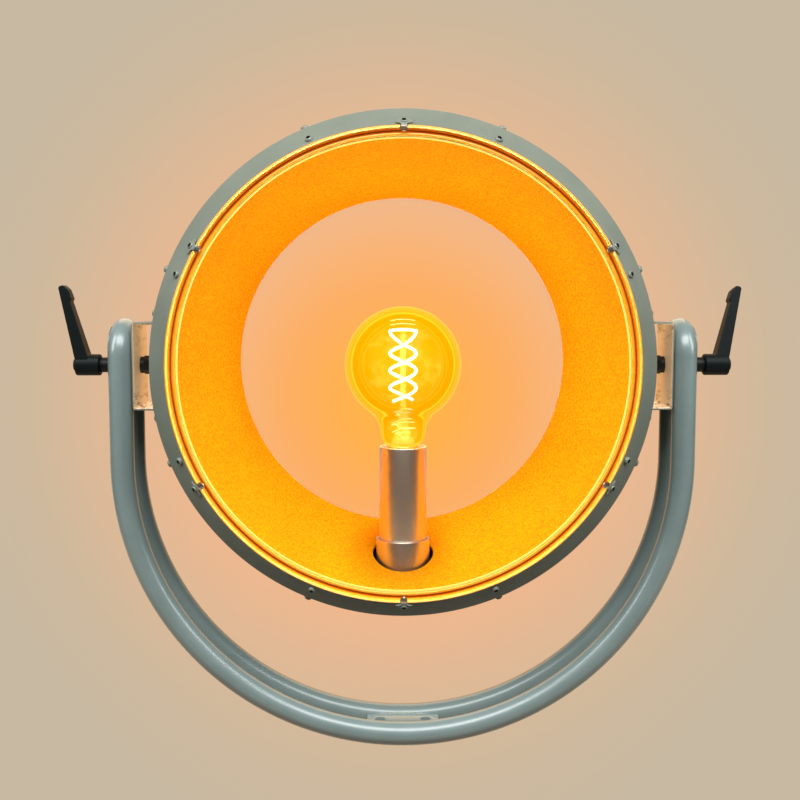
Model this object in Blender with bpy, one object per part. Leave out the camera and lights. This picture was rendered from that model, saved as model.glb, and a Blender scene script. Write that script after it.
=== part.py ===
"""Ring lamp: an open, double-walled ring head with an amber globe bulb, held in a U-shaped yoke of bent
tube by two clamping levers. Metres, +Z up, the open front of the ring faces -Y. The origin is the middle
of the underside of the small plate that is welded across the bottom of the yoke."""

import math

import bmesh
import bpy
from mathutils import Matrix, Vector

GAP = 0.0003            # air between neighbouring pieces

# Yoke: one closed loop of round tube, a front bow and a rear bow joined by hairpin bends.
TUBE_RADIUS = 0.0095
BOW_RADIUS = 0.225      # from the middle to the tube's centreline
BOW_HALF_SPACING = 0.0205
BOW_DROP = 0.302        # pivot axis down to the centreline at the bottom
LEG_TOP = 0.008         # pivot axis up to where the hairpin bend begins
PLATE_LENGTH = 0.060
PLATE_WIDTH = 0.0214
PLATE_THICKNESS = 0.005
PLATE_UNDER = 0.0005    # how far the plate's underside lies below the tube's centreline
PLATE_HOLE_RADIUS = 0.0043
PLATE_HOLE_X = 0.019
PIVOT_Z = BOW_DROP + PLATE_UNDER

# Ring head: radii from the ring's axis, depths along Y from the pivot axis.
RING_SEGMENTS = 60
SHEET = 0.0015
FRONT_Y = -0.055
REAR_Y = 0.055
SHELL_RADIUS = 0.199
SHOULDER_RADIUS = 0.183
SHOULDER_END_Y = -0.0365
OUTER_LIP_RADIUS = 0.1806
OUTER_LIP_FLARE_Y = -0.051
SEAT_OUTER_RADIUS = 0.1784
SEAT_INNER_RADIUS = 0.1760
SEAT_FRONT_Y = -0.0515
RIM_WALL_END_Y = -0.044
REFLECTOR_FRONT_RADIUS = 0.1744
REFLECTOR_FRONT_Y = -0.0502
REFLECTOR_REAR_RADIUS = 0.139
REFLECTOR_SHEET = 0.0013
REFLECTOR_HOLE_RADIUS = 0.025

# Fasteners of the head.
SCREW_HEAD_RADIUS = 0.003
SCREW_HEAD_HEIGHT = 0.003
SCREW_SHANK_RADIUS = 0.0019
SCREW_HOLE_RADIUS = 0.0024
SHOULDER_SCREW_SHARE = 0.27     # place on the bevelled shoulder, 0 at its front edge, 1 at its rear edge
BAND_SCREW_Y = -0.032
CLIP_TONGUE_WIDTH = 0.0046
CLIP_FOOT_WIDTH = 0.013
CLIP_SHEET = 0.001
CLIP_NOTCH_WIDTH = 0.0056
GLAND_THREAD_RADIUS = 0.0078

# Side brackets, bolts and the pieces on the pivot axis. Distances from the middle plane.
BRACKET_OUTER_X = 0.2152
BRACKET_SHEET = 0.002
BRACKET_WIDTH = 0.050
BRACKET_LEG_Z = 0.035
BRACKET_TAB_Z = 0.047
BRACKET_CORNER = 0.003
BRACKET_SCREW_Z = 0.0415
BRACKET_SCREW_Y = 0.017
BOLT_RADIUS = 0.004
BOLT_HOLE_RADIUS = 0.0044
BOLT_HEAD_FLATS = 0.013
BOLT_HEAD_LENGTH = 0.0073
BOLT_NECK_RADIUS = 0.0055
BOLT_NECK_LENGTH = 0.0026
BOLT_END_X = 0.244
BUSH_RADIUS = 0.009
PIVOT_PLATE_X = 0.2348
PIVOT_PLATE_THICKNESS = 0.0028
PIVOT_PLATE_HALF_WIDTH = 0.017
PIVOT_PLATE_HALF_HEIGHT = 0.032

# Clamping levers, in distances from the middle plane along the pivot axis.
LEVER_COLLAR_X = 0.2382
LEVER_HUB_X = 0.2456
LEVER_HUB_END_X = 0.2653
LEVER_SHOULDER_X = 0.2535
LEVER_POCKET_X = 0.257
LEVER_SCREW_HEAD_X = 0.2639
LEVER_SCREW_END_X = 0.2671
LEVER_HUB_RADIUS = 0.0087
LEVER_COLLAR_RADIUS = 0.0061
LEVER_BOSS_RADIUS = 0.0054
LEVER_BOSS_END_X = 0.252
LEVER_TURN = {"left": 0.0, "right": math.radians(-10)}

# Lampholder and bulb, heights from the pivot axis.
COLLAR_RADIUS = 0.022
COLLAR_TOP_Z = -0.143
COLLAR_FLOOR_Z = -0.1958
SLEEVE_RADIUS = 0.0195
SLEEVE_TOP_Z = -0.067
SLEEVE_END_Z = -0.165
INSERT_RADIUS = 0.0177
INSERT_END_Z = -0.118
NIPPLE_RADIUS = 0.005
LEAD_RADIUS = 0.0032
LEAD_Z = -0.182
GLOBE_RADIUS = 0.0475
GLASS = 0.0009
NECK_END_Z = -0.066
FILAMENT_RADIUS = 0.012
FILAMENT_PITCH = 0.0285
FILAMENT_LOW_Z = -0.031
FILAMENT_TURNS = 2

TURN_TO = {
    "X": Matrix.Rotation(math.radians(90), 4, "Y"),
    "Y": Matrix.Rotation(math.radians(-90), 4, "X"),
    "Z": Matrix.Identity(4),
}


# ---------------------------------------------------------------- helpers

def finish(name, color, roughness, metallic=0.0):
    """A plain Principled material."""
    material = bpy.data.materials.new(name)
    material.use_nodes = True
    shader = material.node_tree.nodes["Principled BSDF"]
    shader.inputs["Base Color"].default_value = (*color, 1.0)
    shader.inputs["Roughness"].default_value = roughness
    shader.inputs["Metallic"].default_value = metallic
    return material


def empty(name, parent=None, location=(0, 0, 0), turn_z=0.0):
    """A reference point that pieces are parented to."""
    point = bpy.data.objects.new(name, None)
    bpy.context.scene.collection.objects.link(point)
    point.parent = parent
    point.location = location
    point.rotation_euler.z = turn_z
    return point


def piece(name, bm, material, parent=None, place=None, smooth=True):
    """Turns a bmesh into a named object."""
    bmesh.ops.recalc_face_normals(bm, faces=bm.faces[:])
    mesh = bpy.data.meshes.new(name)
    bm.to_mesh(mesh)
    bm.free()
    if smooth:
        mesh.shade_smooth()
        mesh.set_sharp_from_angle(angle=math.radians(35))
    return piece_of_mesh(name, mesh, material, parent, place)


def piece_of_mesh(name, mesh, material, parent=None, place=None):
    """Places a mesh or a curve as a named object, also one that other pieces share."""
    made = bpy.data.objects.new(name, mesh)
    bpy.context.scene.collection.objects.link(made)
    if material and not mesh.materials:
        mesh.materials.append(material)
    made.parent = parent
    if place:
        made.matrix_local = place
    return made


def turned(profile, segments, axis="Z", closed=False):
    """A profile of (radius, distance along the axis) points spun once round the axis.
    A closed profile makes a ring, an open one begins and ends on the axis."""
    bm = bmesh.new()
    points = [bm.verts.new((radius, 0, along)) for radius, along in profile]
    edges = [bm.edges.new(pair) for pair in zip(points, points[1:])]
    if closed:
        edges.append(bm.edges.new((points[-1], points[0])))
    bmesh.ops.spin(bm, geom=points + edges, cent=(0, 0, 0), axis=(0, 0, 1), angle=math.tau, steps=segments)
    bmesh.ops.remove_doubles(bm, verts=bm.verts[:], dist=1e-6)
    bmesh.ops.transform(bm, matrix=TURN_TO[axis], verts=bm.verts[:])
    return bm


def prism(outline, low, high, place=None):
    """An outline of (x, y) points extruded from z = low to z = high."""
    bm = bmesh.new()
    face = bm.faces.new([bm.verts.new((x, y, low)) for x, y in outline])
    grown = bmesh.ops.extrude_face_region(bm, geom=[face])
    top = [part for part in grown["geom"] if isinstance(part, bmesh.types.BMVert)]
    bmesh.ops.translate(bm, vec=(0, 0, high - low), verts=top)
    if place:
        bmesh.ops.transform(bm, matrix=place, verts=bm.verts[:])
    return bm


def arc(centre, radius, start, end, steps):
    """Points of (x, y) along an arc, angles in degrees."""
    angles = [math.radians(start + (end - start) * step / steps) for step in range(steps + 1)]
    return [(centre[0] + radius * math.cos(a), centre[1] + radius * math.sin(a)) for a in angles]


def tube(name, points, radius, material, parent=None, sides=10, cyclic=False):
    """A round tube or wire along a line of points."""
    curve = bpy.data.curves.new(name, "CURVE")
    curve.dimensions = "3D"
    curve.bevel_depth = radius
    curve.bevel_resolution = (sides - 4) // 2
    curve.use_fill_caps = not cyclic
    spline = curve.splines.new("POLY")
    spline.points.add(len(points) - 1)
    for point, place in zip(spline.points, points):
        point.co = (*place, 1.0)
    spline.use_cyclic_u = cyclic
    spline.use_smooth = True
    return piece_of_mesh(name, curve, material, parent)


def cutter(name, shapes, parent=None, place=None):
    """One hidden object that holds every shape to cut away."""
    tool = bmesh.new()
    for shape in shapes:
        bmesh.ops.recalc_face_normals(shape, faces=shape.faces[:])
        mesh = bpy.data.meshes.new(name)
        shape.to_mesh(mesh)
        shape.free()
        tool.from_mesh(mesh)
        bpy.data.meshes.remove(mesh)
    made = piece(name, tool, None, parent, place, smooth=False)
    made.hide_render = True
    made.display_type = "WIRE"
    return made


def combine(target, other, operation):
    """Cuts another object from the target, or joins it on."""
    modifier = target.modifiers.new(operation.title(), "BOOLEAN")
    modifier.operation = operation
    modifier.object = other


def drill(radius, low, high, place, segments=12):
    """A round cutter along its own Z."""
    bm = turned([(0, low), (radius, low), (radius, high), (0, high)], segments)
    bmesh.ops.transform(bm, matrix=place, verts=bm.verts[:])
    return bm


def radial_place(angle, radius, y, lean=0.0):
    """A place on the ring whose Z points outwards, leant towards the front by an angle in radians.
    Its X runs along the ring. The angle round the ring is in degrees from +X towards +Z."""
    a = math.radians(angle)
    outward = Vector((math.cos(a), 0, math.sin(a)))
    along = Vector((-math.sin(a), 0, math.cos(a)))
    normal = outward * math.cos(lean) + Vector((0, -1, 0)) * math.sin(lean)
    across = normal.cross(along)
    place = Matrix((along, across, normal)).transposed().to_4x4()
    place.translation = outward * radius + Vector((0, y, 0))
    return place


# ---------------------------------------------------------------- finishes and reference points

for old in list(bpy.data.objects):
    bpy.data.objects.remove(old)

SHELL_ENAMEL = finish("shell_enamel", (0.24, 0.28, 0.24), 0.5)
REFLECTOR_ENAMEL = finish("reflector_enamel", (1.0, 0.42, 0.02), 0.6)
RIM_ENAMEL = finish("rim_enamel", (1.0, 0.62, 0.12), 0.45)
YOKE_ENAMEL = finish("yoke_enamel", (0.27, 0.36, 0.35), 0.4)
BRACKET_ENAMEL = finish("bracket_enamel", (0.72, 0.48, 0.24), 0.5)
SCREW_STEEL = finish("screw_steel", (0.22, 0.24, 0.2), 0.4, 0.6)
CLIP_STEEL = finish("clip_steel", (0.6, 0.5, 0.3), 0.35, 0.8)
BLACK_STEEL = finish("black_steel", (0.015, 0.015, 0.015), 0.45, 0.4)
LEVER_BLACK = finish("lever_black", (0.02, 0.024, 0.024), 0.5)
SPRING_STEEL = finish("spring_steel", (0.6, 0.6, 0.6), 0.3, 1.0)
HOLDER_METAL = finish("holder_metal", (0.45, 0.36, 0.3), 0.38, 0.9)
PORCELAIN = finish("porcelain", (0.85, 0.83, 0.78), 0.3)
PLAIN_BRASS = finish("brass", (0.75, 0.55, 0.22), 0.35, 1.0)
AMBER_GLASS = finish("amber_glass", (1.0, 0.6, 0.05), 0.05)
STEM_GLASS = finish("stem_glass", (1.0, 0.8, 0.4), 0.1)
FILAMENT = finish("filament", (1.0, 0.75, 0.3), 0.4)
GLAND_PLASTIC = finish("gland_plastic", (0.03, 0.03, 0.03), 0.5)
LEAD_RUBBER = finish("lead_rubber", (0.03, 0.03, 0.03), 0.6)

SIDES = {"right": 1, "left": -1}
yoke_pivot = empty("yoke_pivot", location=(0, 0, PIVOT_Z))
head_pivot = empty("head_pivot", location=(0, 0, PIVOT_Z))
bulb_axis = empty("bulb_axis", head_pivot)
yoke_side = {}
head_side = {}
lever_axis = {}
for side, sign in SIDES.items():
    half_turn = math.pi if sign < 0 else 0.0
    yoke_side[side] = empty("yoke_side_" + side, yoke_pivot, turn_z=half_turn)
    head_side[side] = empty("head_side_" + side, head_pivot, turn_z=half_turn)
    lever_axis[side] = empty("lever_axis_" + side, yoke_pivot, turn_z=half_turn)


# ---------------------------------------------------------------- yoke

def bow_points(y):
    """One bow from its left leg through the bottom to its right leg."""
    centre = (0, BOW_RADIUS - BOW_DROP)
    bend = arc(centre, BOW_RADIUS, 180, 360, 30)
    line = [(-BOW_RADIUS, centre[1] / 2)] + bend + [(BOW_RADIUS, centre[1] / 2)]
    return [(x, y, z) for x, z in line]


def hairpin_points(x):
    """The bend at the top of a leg, from the front bow over to the rear bow."""
    return [(x, y, z) for y, z in arc((0, LEG_TOP), BOW_HALF_SPACING, 180, 0, 8)]


loop = bow_points(-BOW_HALF_SPACING) + hairpin_points(BOW_RADIUS)
loop += reversed(bow_points(BOW_HALF_SPACING))
loop += reversed(hairpin_points(-BOW_RADIUS))
tube("yoke_tube", loop, TUBE_RADIUS, YOKE_ENAMEL, yoke_pivot, sides=8, cyclic=True)

corner = 0.004
half_x = PLATE_LENGTH / 2 - corner
half_y = PLATE_WIDTH / 2 - corner
outline = arc((half_x, half_y), corner, 0, 90, 3) + arc((-half_x, half_y), corner, 90, 180, 3)
outline += arc((-half_x, -half_y), corner, 180, 270, 3) + arc((half_x, -half_y), corner, 270, 360, 3)
mount_plate = piece("mount_plate", prism(outline, 0, PLATE_THICKNESS), YOKE_ENAMEL, smooth=False)
holes = [drill(PLATE_HOLE_RADIUS, -0.002, 0.008, Matrix.Translation((x, 0, 0))) for x in
         (-PLATE_HOLE_X, PLATE_HOLE_X)]
combine(mount_plate, cutter("mount_plate_holes", holes), "DIFFERENCE")


def pivot_plate(side):
    """The round-ended plate on the outside of both legs that the bolt comes out of."""
    straight = PIVOT_PLATE_HALF_HEIGHT - PIVOT_PLATE_HALF_WIDTH
    ends = arc((0, straight), PIVOT_PLATE_HALF_WIDTH, 0, 180, 8)
    ends += arc((0, -straight), PIVOT_PLATE_HALF_WIDTH, 180, 360, 8)
    # the outline's x and y become the row's Y and Z, and the extrusion runs along X
    place = Matrix(((0, 0, 1, 0), (1, 0, 0, 0), (0, 1, 0, 0), (0, 0, 0, 1)))
    bm = prism(ends, PIVOT_PLATE_X, PIVOT_PLATE_X + PIVOT_PLATE_THICKNESS, place)
    outer_edge = [edge for edge in bm.edges
                  if all(vert.co.x > PIVOT_PLATE_X + PIVOT_PLATE_THICKNESS / 2 for vert in edge.verts)]
    bmesh.ops.bevel(bm, geom=outer_edge, offset=0.0012, segments=2, profile=0.5, affect="EDGES")
    plate = piece("pivot_plate_" + side, bm, YOKE_ENAMEL, yoke_side[side])
    hole = drill(BOLT_HOLE_RADIUS, PIVOT_PLATE_X - 0.002, PIVOT_PLATE_X + 0.006, TURN_TO["X"], 16)
    combine(plate, cutter("pivot_plate_hole_" + side, [hole], yoke_side[side]), "DIFFERENCE")


def pivot_bush(side):
    """The spacer between the two bows that the bolt runs through."""
    inner_x = BRACKET_OUTER_X + GAP
    outer_x = PIVOT_PLATE_X - GAP
    profile = [(BOLT_HOLE_RADIUS, inner_x), (BUSH_RADIUS, inner_x), (BUSH_RADIUS, outer_x),
               (BOLT_HOLE_RADIUS, outer_x)]
    piece("pivot_bush_" + side, turned(profile, 16, "X", closed=True), SPRING_STEEL, yoke_side[side])


# ---------------------------------------------------------------- ring head

shoulder_run = Vector((SHELL_RADIUS - SHOULDER_RADIUS, SHOULDER_END_Y - FRONT_Y))
shoulder_normal = Vector((shoulder_run.y, -shoulder_run.x)).normalized()
shoulder_lean = math.atan2(shoulder_run.x, shoulder_run.y)


def on_shoulder(share, height=0.0):
    """A (radius, y) point on the bevelled shoulder, raised from its surface by a height."""
    return Vector((SHOULDER_RADIUS, FRONT_Y)) + shoulder_run * share + shoulder_normal * height


def shoulder_at_y(y, height=0.0):
    """The (radius, y) point of the shoulder's surface, raised by a height, that has a given y."""
    share = (y - FRONT_Y - shoulder_normal.y * height) / shoulder_run.y
    return on_shoulder(share, height)


screw_angles = [22.5 + 45 * step for step in range(8)]
clip_angles = [30 + 60 * step for step in range(6)]
shoulder_spot = on_shoulder(SHOULDER_SCREW_SHARE)
shoulder_places = [radial_place(a, shoulder_spot.x, shoulder_spot.y, shoulder_lean) for a in screw_angles]
band_places = [radial_place(a, SHELL_RADIUS, BAND_SCREW_Y) for a in screw_angles]


def bracket_screw_place(side, end):
    """A bracket screw's place on the ring, on the upper or the lower tab near the front edge."""
    rise = math.degrees(math.asin(BRACKET_SCREW_Z / SHELL_RADIUS)) * end
    angle = rise if side == "right" else 180 - rise
    return radial_place(angle, SHELL_RADIUS, -BRACKET_SCREW_Y)


def outer_shell():
    """The painted sheet drum with its bevelled front shoulder."""
    front_y = FRONT_Y + SHEET + 2 * GAP
    rear_y = REAR_Y - SHEET - GAP
    front = shoulder_at_y(front_y)
    inner_front = front - shoulder_normal * SHEET
    inner_radius = SHELL_RADIUS - SHEET
    inner_corner = shoulder_at_y(0, -SHEET)
    inner_corner += shoulder_run * ((inner_radius - inner_corner.x) / shoulder_run.x)
    profile = [front, (SHELL_RADIUS, SHOULDER_END_Y), (SHELL_RADIUS, rear_y), (inner_radius, rear_y),
               inner_corner, inner_front]
    shell = piece("outer_shell", turned(profile, RING_SEGMENTS, "Y", closed=True), SHELL_ENAMEL, head_pivot)
    places = shoulder_places + band_places
    places += [bracket_screw_place(side, end) for side in SIDES for end in (1, -1)]
    holes = [drill(SCREW_HOLE_RADIUS, -0.004, 0.003, place, 8) for place in places]
    holes.append(drill(NIPPLE_RADIUS + GAP, -0.203, -0.19, Matrix.Identity(4)))
    combine(shell, cutter("outer_shell_holes", holes, head_pivot), "DIFFERENCE")


def front_rim():
    """The flared outer lip round the front, notched for the filter clips."""
    outer_edge = shoulder_at_y(FRONT_Y + SHEET + GAP)
    wall = OUTER_LIP_RADIUS + SHEET
    profile = [(OUTER_LIP_RADIUS, OUTER_LIP_FLARE_Y), (SHOULDER_RADIUS - 0.0002, FRONT_Y), outer_edge,
               (wall, OUTER_LIP_FLARE_Y + 0.0002), (wall, RIM_WALL_END_Y), (OUTER_LIP_RADIUS, RIM_WALL_END_Y)]
    rim = piece("front_rim", turned(profile, RING_SEGMENTS, "Y", closed=True), RIM_ENAMEL, head_pivot)
    half = CLIP_NOTCH_WIDTH / 2
    notch = [(-half, -0.004), (half, -0.004), (half, 0.004), (-half, 0.004)]
    cuts = [prism(notch, -0.006, 0.006, radial_place(a, 0.183, FRONT_Y)) for a in clip_angles]
    combine(rim, cutter("front_rim_notches", cuts, head_pivot), "DIFFERENCE")


def filter_seat_ring():
    """The inner lip: the ledge that a filter rests on, with the groove's floor behind it."""
    floor_y = RIM_WALL_END_Y - SHEET
    outer = OUTER_LIP_RADIUS - GAP
    profile = [(SEAT_INNER_RADIUS, SEAT_FRONT_Y), (SEAT_OUTER_RADIUS, SEAT_FRONT_Y),
               (SEAT_OUTER_RADIUS, floor_y), (outer, floor_y), (outer, RIM_WALL_END_Y),
               (SEAT_INNER_RADIUS, RIM_WALL_END_Y)]
    piece("filter_seat_ring", turned(profile, RING_SEGMENTS, "Y", closed=True), RIM_ENAMEL, head_pivot)


def reflector_cone():
    """The tapered inner wall, with the hole that the lampholder comes up through."""
    rear_y = REAR_Y - SHEET - GAP
    profile = [(REFLECTOR_FRONT_RADIUS, REFLECTOR_FRONT_Y),
               (REFLECTOR_FRONT_RADIUS + REFLECTOR_SHEET, REFLECTOR_FRONT_Y),
               (REFLECTOR_REAR_RADIUS + REFLECTOR_SHEET, rear_y), (REFLECTOR_REAR_RADIUS, rear_y)]
    cone = piece("reflector_cone", turned(profile, RING_SEGMENTS, "Y", closed=True), REFLECTOR_ENAMEL,
                 head_pivot)
    hole = drill(REFLECTOR_HOLE_RADIUS, -0.185, -0.13, Matrix.Identity(4), 24)
    combine(cone, cutter("reflector_cone_hole", [hole], head_pivot), "DIFFERENCE")


def rear_ring():
    """The flat ring that closes the back, with the hole for the cable gland."""
    inner_y = REAR_Y - SHEET
    profile = [(REFLECTOR_REAR_RADIUS, inner_y), (SHELL_RADIUS, inner_y), (SHELL_RADIUS, REAR_Y),
               (REFLECTOR_REAR_RADIUS, REAR_Y)]
    ring = piece("rear_ring", turned(profile, RING_SEGMENTS, "Y", closed=True), SHELL_ENAMEL, head_pivot)
    place = Matrix.Translation((0, 0, LEAD_Z)) @ TURN_TO["Y"]
    hole = drill(GLAND_THREAD_RADIUS + GAP, REAR_Y - 0.005, REAR_Y + 0.004, place, 16)
    combine(ring, cutter("rear_ring_hole", [hole], head_pivot), "DIFFERENCE")


def head_screws():
    """Sixteen button-head screws on the ring and four on the brackets, which share one mesh."""
    top = SCREW_HEAD_HEIGHT
    profile = [(0, -0.0045), (SCREW_SHANK_RADIUS, -0.0045), (SCREW_SHANK_RADIUS, GAP),
               (SCREW_HEAD_RADIUS, GAP), (SCREW_HEAD_RADIUS, top * 0.45), (SCREW_HEAD_RADIUS * 0.72, top),
               (0, top)]
    first = piece("shoulder_screw_1", turned(profile, 8), SCREW_STEEL, head_pivot, shoulder_places[0])
    for number, place in enumerate(shoulder_places[1:], 2):
        piece_of_mesh(f"shoulder_screw_{number}", first.data, SCREW_STEEL, head_pivot, place)
    for number, place in enumerate(band_places, 1):
        piece_of_mesh(f"band_screw_{number}", first.data, SCREW_STEEL, head_pivot, place)
    lift = Matrix.Translation((0, 0, BRACKET_SHEET + GAP))
    for side in SIDES:
        for name, end in (("upper", 1), ("lower", -1)):
            place = bracket_screw_place(side, end) @ lift
            piece_of_mesh(f"bracket_screw_{side}_{name}", first.data, SCREW_STEEL, head_pivot, place)


def filter_clips():
    """Six bent clips: a wide foot on the shoulder and a narrow tongue through the rim's notch."""
    tongue_y = FRONT_Y + 0.0014
    tongue_end = SEAT_OUTER_RADIUS + 0.0008
    bend = shoulder_at_y(tongue_y, GAP)
    outer_bend = shoulder_at_y(tongue_y - CLIP_SHEET, GAP + CLIP_SHEET)
    foot_end = on_shoulder(0.34, GAP)
    outer_foot_end = on_shoulder(0.34, GAP + CLIP_SHEET)
    tongue = [(tongue_end, tongue_y), bend, foot_end, outer_foot_end, outer_bend,
              (tongue_end, tongue_y - CLIP_SHEET)]
    foot = [on_shoulder(0.12, GAP), foot_end, outer_foot_end, on_shoulder(0.12, GAP + CLIP_SHEET)]
    meshes = []
    for outline, width in ((tongue, CLIP_TONGUE_WIDTH), (foot, CLIP_FOOT_WIDTH)):
        # radius and y of the outline are the ring's X and Y at angle 0, the width runs along Z
        meshes.append(prism([tuple(point) for point in outline], -width / 2, width / 2))
    for number, angle in enumerate(clip_angles, 1):
        place = Matrix.Rotation(math.radians(-angle), 4, "Y")
        clip = piece(f"filter_clip_{number}", meshes[0].copy(), CLIP_STEEL, head_pivot, place, smooth=False)
        wide = cutter(f"filter_clip_foot_{number}", [meshes[1].copy()], head_pivot, place)
        combine(clip, wide, "UNION")


def side_bracket(side):
    """The hat-section strip between the ring and the yoke leg."""
    tab_radius = SHELL_RADIUS + GAP

    def tab(radius, leg_z):
        """Arc points of one face of the upper tab, from its end down to the leg."""
        start = math.degrees(math.asin(BRACKET_TAB_Z / radius))
        end = math.degrees(math.asin(leg_z / radius))
        return arc((0, 0), radius, start, end, 3)

    outer = tab(tab_radius + BRACKET_SHEET, BRACKET_LEG_Z)
    outer += arc((BRACKET_OUTER_X - BRACKET_CORNER, BRACKET_LEG_Z - BRACKET_CORNER), BRACKET_CORNER, 90, 0, 3)
    inner = tab(tab_radius, BRACKET_LEG_Z - BRACKET_SHEET)
    inner_corner = BRACKET_CORNER - BRACKET_SHEET
    centre = (BRACKET_OUTER_X - BRACKET_CORNER, BRACKET_LEG_Z - BRACKET_CORNER)
    inner += arc(centre, inner_corner, 90, 0, 2)
    outline = outer + [(x, -z) for x, z in reversed(outer)]
    outline += [(x, -z) for x, z in inner] + list(reversed(inner))
    # the outline's x and y are the row's X and Z, and the extrusion runs along Y
    place = Matrix(((1, 0, 0, 0), (0, 0, 1, 0), (0, 1, 0, 0), (0, 0, 0, 1)))
    bm = prism(outline, -BRACKET_WIDTH / 2, BRACKET_WIDTH / 2, place)
    bracket = piece("side_bracket_" + side, bm, BRACKET_ENAMEL, head_side[side])
    cuts = [drill(BOLT_HOLE_RADIUS, BRACKET_OUTER_X - 0.006, BRACKET_OUTER_X + 0.004, TURN_TO["X"], 16)]
    for end in (1, -1):
        world = bracket_screw_place(side, end)
        local = head_side[side].rotation_euler.to_matrix().to_4x4().inverted() @ world
        cuts.append(drill(SCREW_HOLE_RADIUS, -0.002, 0.006, local, 8))
    combine(bracket, cutter("side_bracket_holes_" + side, cuts, head_side[side]), "DIFFERENCE")


def pivot_bolt(side):
    """The hex bolt, from inside the bracket out into the lever."""
    neck_x = BRACKET_OUTER_X - BRACKET_SHEET - GAP
    head_x = neck_x - BOLT_NECK_LENGTH
    profile = [(0, head_x - 0.001), (BOLT_NECK_RADIUS, head_x - 0.001), (BOLT_NECK_RADIUS, neck_x),
               (BOLT_RADIUS, neck_x), (BOLT_RADIUS, BOLT_END_X - 0.0008), (BOLT_RADIUS - 0.0008, BOLT_END_X),
               (0, BOLT_END_X)]
    bolt = piece("pivot_bolt_" + side, turned(profile, 16, "X"), BLACK_STEEL, head_side[side])
    corner_radius = BOLT_HEAD_FLATS / 2 / math.cos(math.radians(30))
    start_x = head_x - BOLT_HEAD_LENGTH
    hexagon = [(0, start_x), (corner_radius - 0.0008, start_x), (corner_radius, start_x + 0.0008),
               (corner_radius, head_x), (0, head_x)]
    head = cutter("pivot_bolt_head_" + side, [turned(hexagon, 6, "X")], head_side[side])
    combine(bolt, head, "UNION")


def cable_gland():
    """The gland in the rear ring behind the lampholder."""
    bore = 0.004
    profile = [(bore, 0.047), (GLAND_THREAD_RADIUS, 0.047), (GLAND_THREAD_RADIUS, REAR_Y + GAP),
               (0.0105, REAR_Y + GAP),
               (0.0105, 0.0605), (0.0095, 0.0610), (0.0100, 0.0620), (0.0098, 0.0715), (0.0070, 0.0755),
               (bore, 0.0755)]
    place = Matrix.Translation((0, 0, LEAD_Z))
    piece("cable_gland", turned(profile, 14, "Y", closed=True), GLAND_PLASTIC, head_pivot, place)


# ---------------------------------------------------------------- lampholder

def lampholder():
    """The cup, tube, porcelain insert, fixing nipple, nut and internal lead."""
    wall = 0.0022
    floor = COLLAR_FLOOR_Z + 0.0025
    bore = NIPPLE_RADIUS + GAP
    profile = [(bore, COLLAR_FLOOR_Z), (COLLAR_RADIUS - 0.001, COLLAR_FLOOR_Z),
               (COLLAR_RADIUS, COLLAR_FLOOR_Z + 0.001), (COLLAR_RADIUS, COLLAR_TOP_Z - 0.001),
               (COLLAR_RADIUS - 0.001, COLLAR_TOP_Z), (COLLAR_RADIUS - wall, COLLAR_TOP_Z),
               (COLLAR_RADIUS - wall, floor), (bore, floor)]
    collar = piece("lampholder_collar", turned(profile, 28, closed=True), HOLDER_METAL, head_pivot)
    place = Matrix.Translation((0, 0, LEAD_Z)) @ TURN_TO["Y"]
    side_hole = drill(LEAD_RADIUS + 0.001, 0.012, 0.026, place)
    combine(collar, cutter("lampholder_collar_hole", [side_hole], head_pivot), "DIFFERENCE")

    bore = SLEEVE_RADIUS - SHEET
    profile = [(bore, SLEEVE_END_Z), (SLEEVE_RADIUS, SLEEVE_END_Z), (SLEEVE_RADIUS, SLEEVE_TOP_Z - 0.0006),
               (SLEEVE_RADIUS - 0.0006, SLEEVE_TOP_Z), (bore, SLEEVE_TOP_Z)]
    piece("lampholder_sleeve", turned(profile, 28, closed=True), HOLDER_METAL, head_pivot)

    top = SLEEVE_TOP_Z - 0.003
    well = top - 0.028
    profile = [(0, INSERT_END_Z), (0.012, INSERT_END_Z), (0.014, INSERT_END_Z + 0.006),
               (INSERT_RADIUS, INSERT_END_Z + 0.010), (INSERT_RADIUS, top), (0.0139, top), (0.0139, well),
               (0, well)]
    piece("lampholder_insert", turned(profile, 20), PORCELAIN, head_pivot)

    flange = floor + GAP
    profile = [(0.0033, -0.2035), (NIPPLE_RADIUS, -0.2035), (NIPPLE_RADIUS, flange), (0.0075, flange),
               (0.0075, flange + 0.002), (0.0033, flange + 0.002)]
    piece("lampholder_nipple", turned(profile, 12, closed=True), PLAIN_BRASS, head_pivot)

    nut_top = -SHELL_RADIUS - GAP
    nut_bore = (NIPPLE_RADIUS + GAP) / math.cos(math.radians(30))
    profile = [(nut_bore, nut_top - 0.003), (0.0085, nut_top - 0.003), (0.0085, nut_top), (nut_bore, nut_top)]
    piece("nipple_nut", turned(profile, 6, closed=True), SPRING_STEEL, head_pivot)

    bend = 0.016
    start_z = INSERT_END_Z - 2 * GAP
    elbow = arc((bend, LEAD_Z + bend), bend, 180, 270, 6)
    lead = [(0, 0, start_z), (0, 0, (start_z + LEAD_Z + bend) / 2)] + [(0, y, z) for y, z in elbow]
    lead += [(0, 0.030, LEAD_Z), (0, 0.0465, LEAD_Z)]
    tube("internal_lead", lead, LEAD_RADIUS, LEAD_RUBBER, head_pivot, sides=8)


# ---------------------------------------------------------------- bulb

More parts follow.
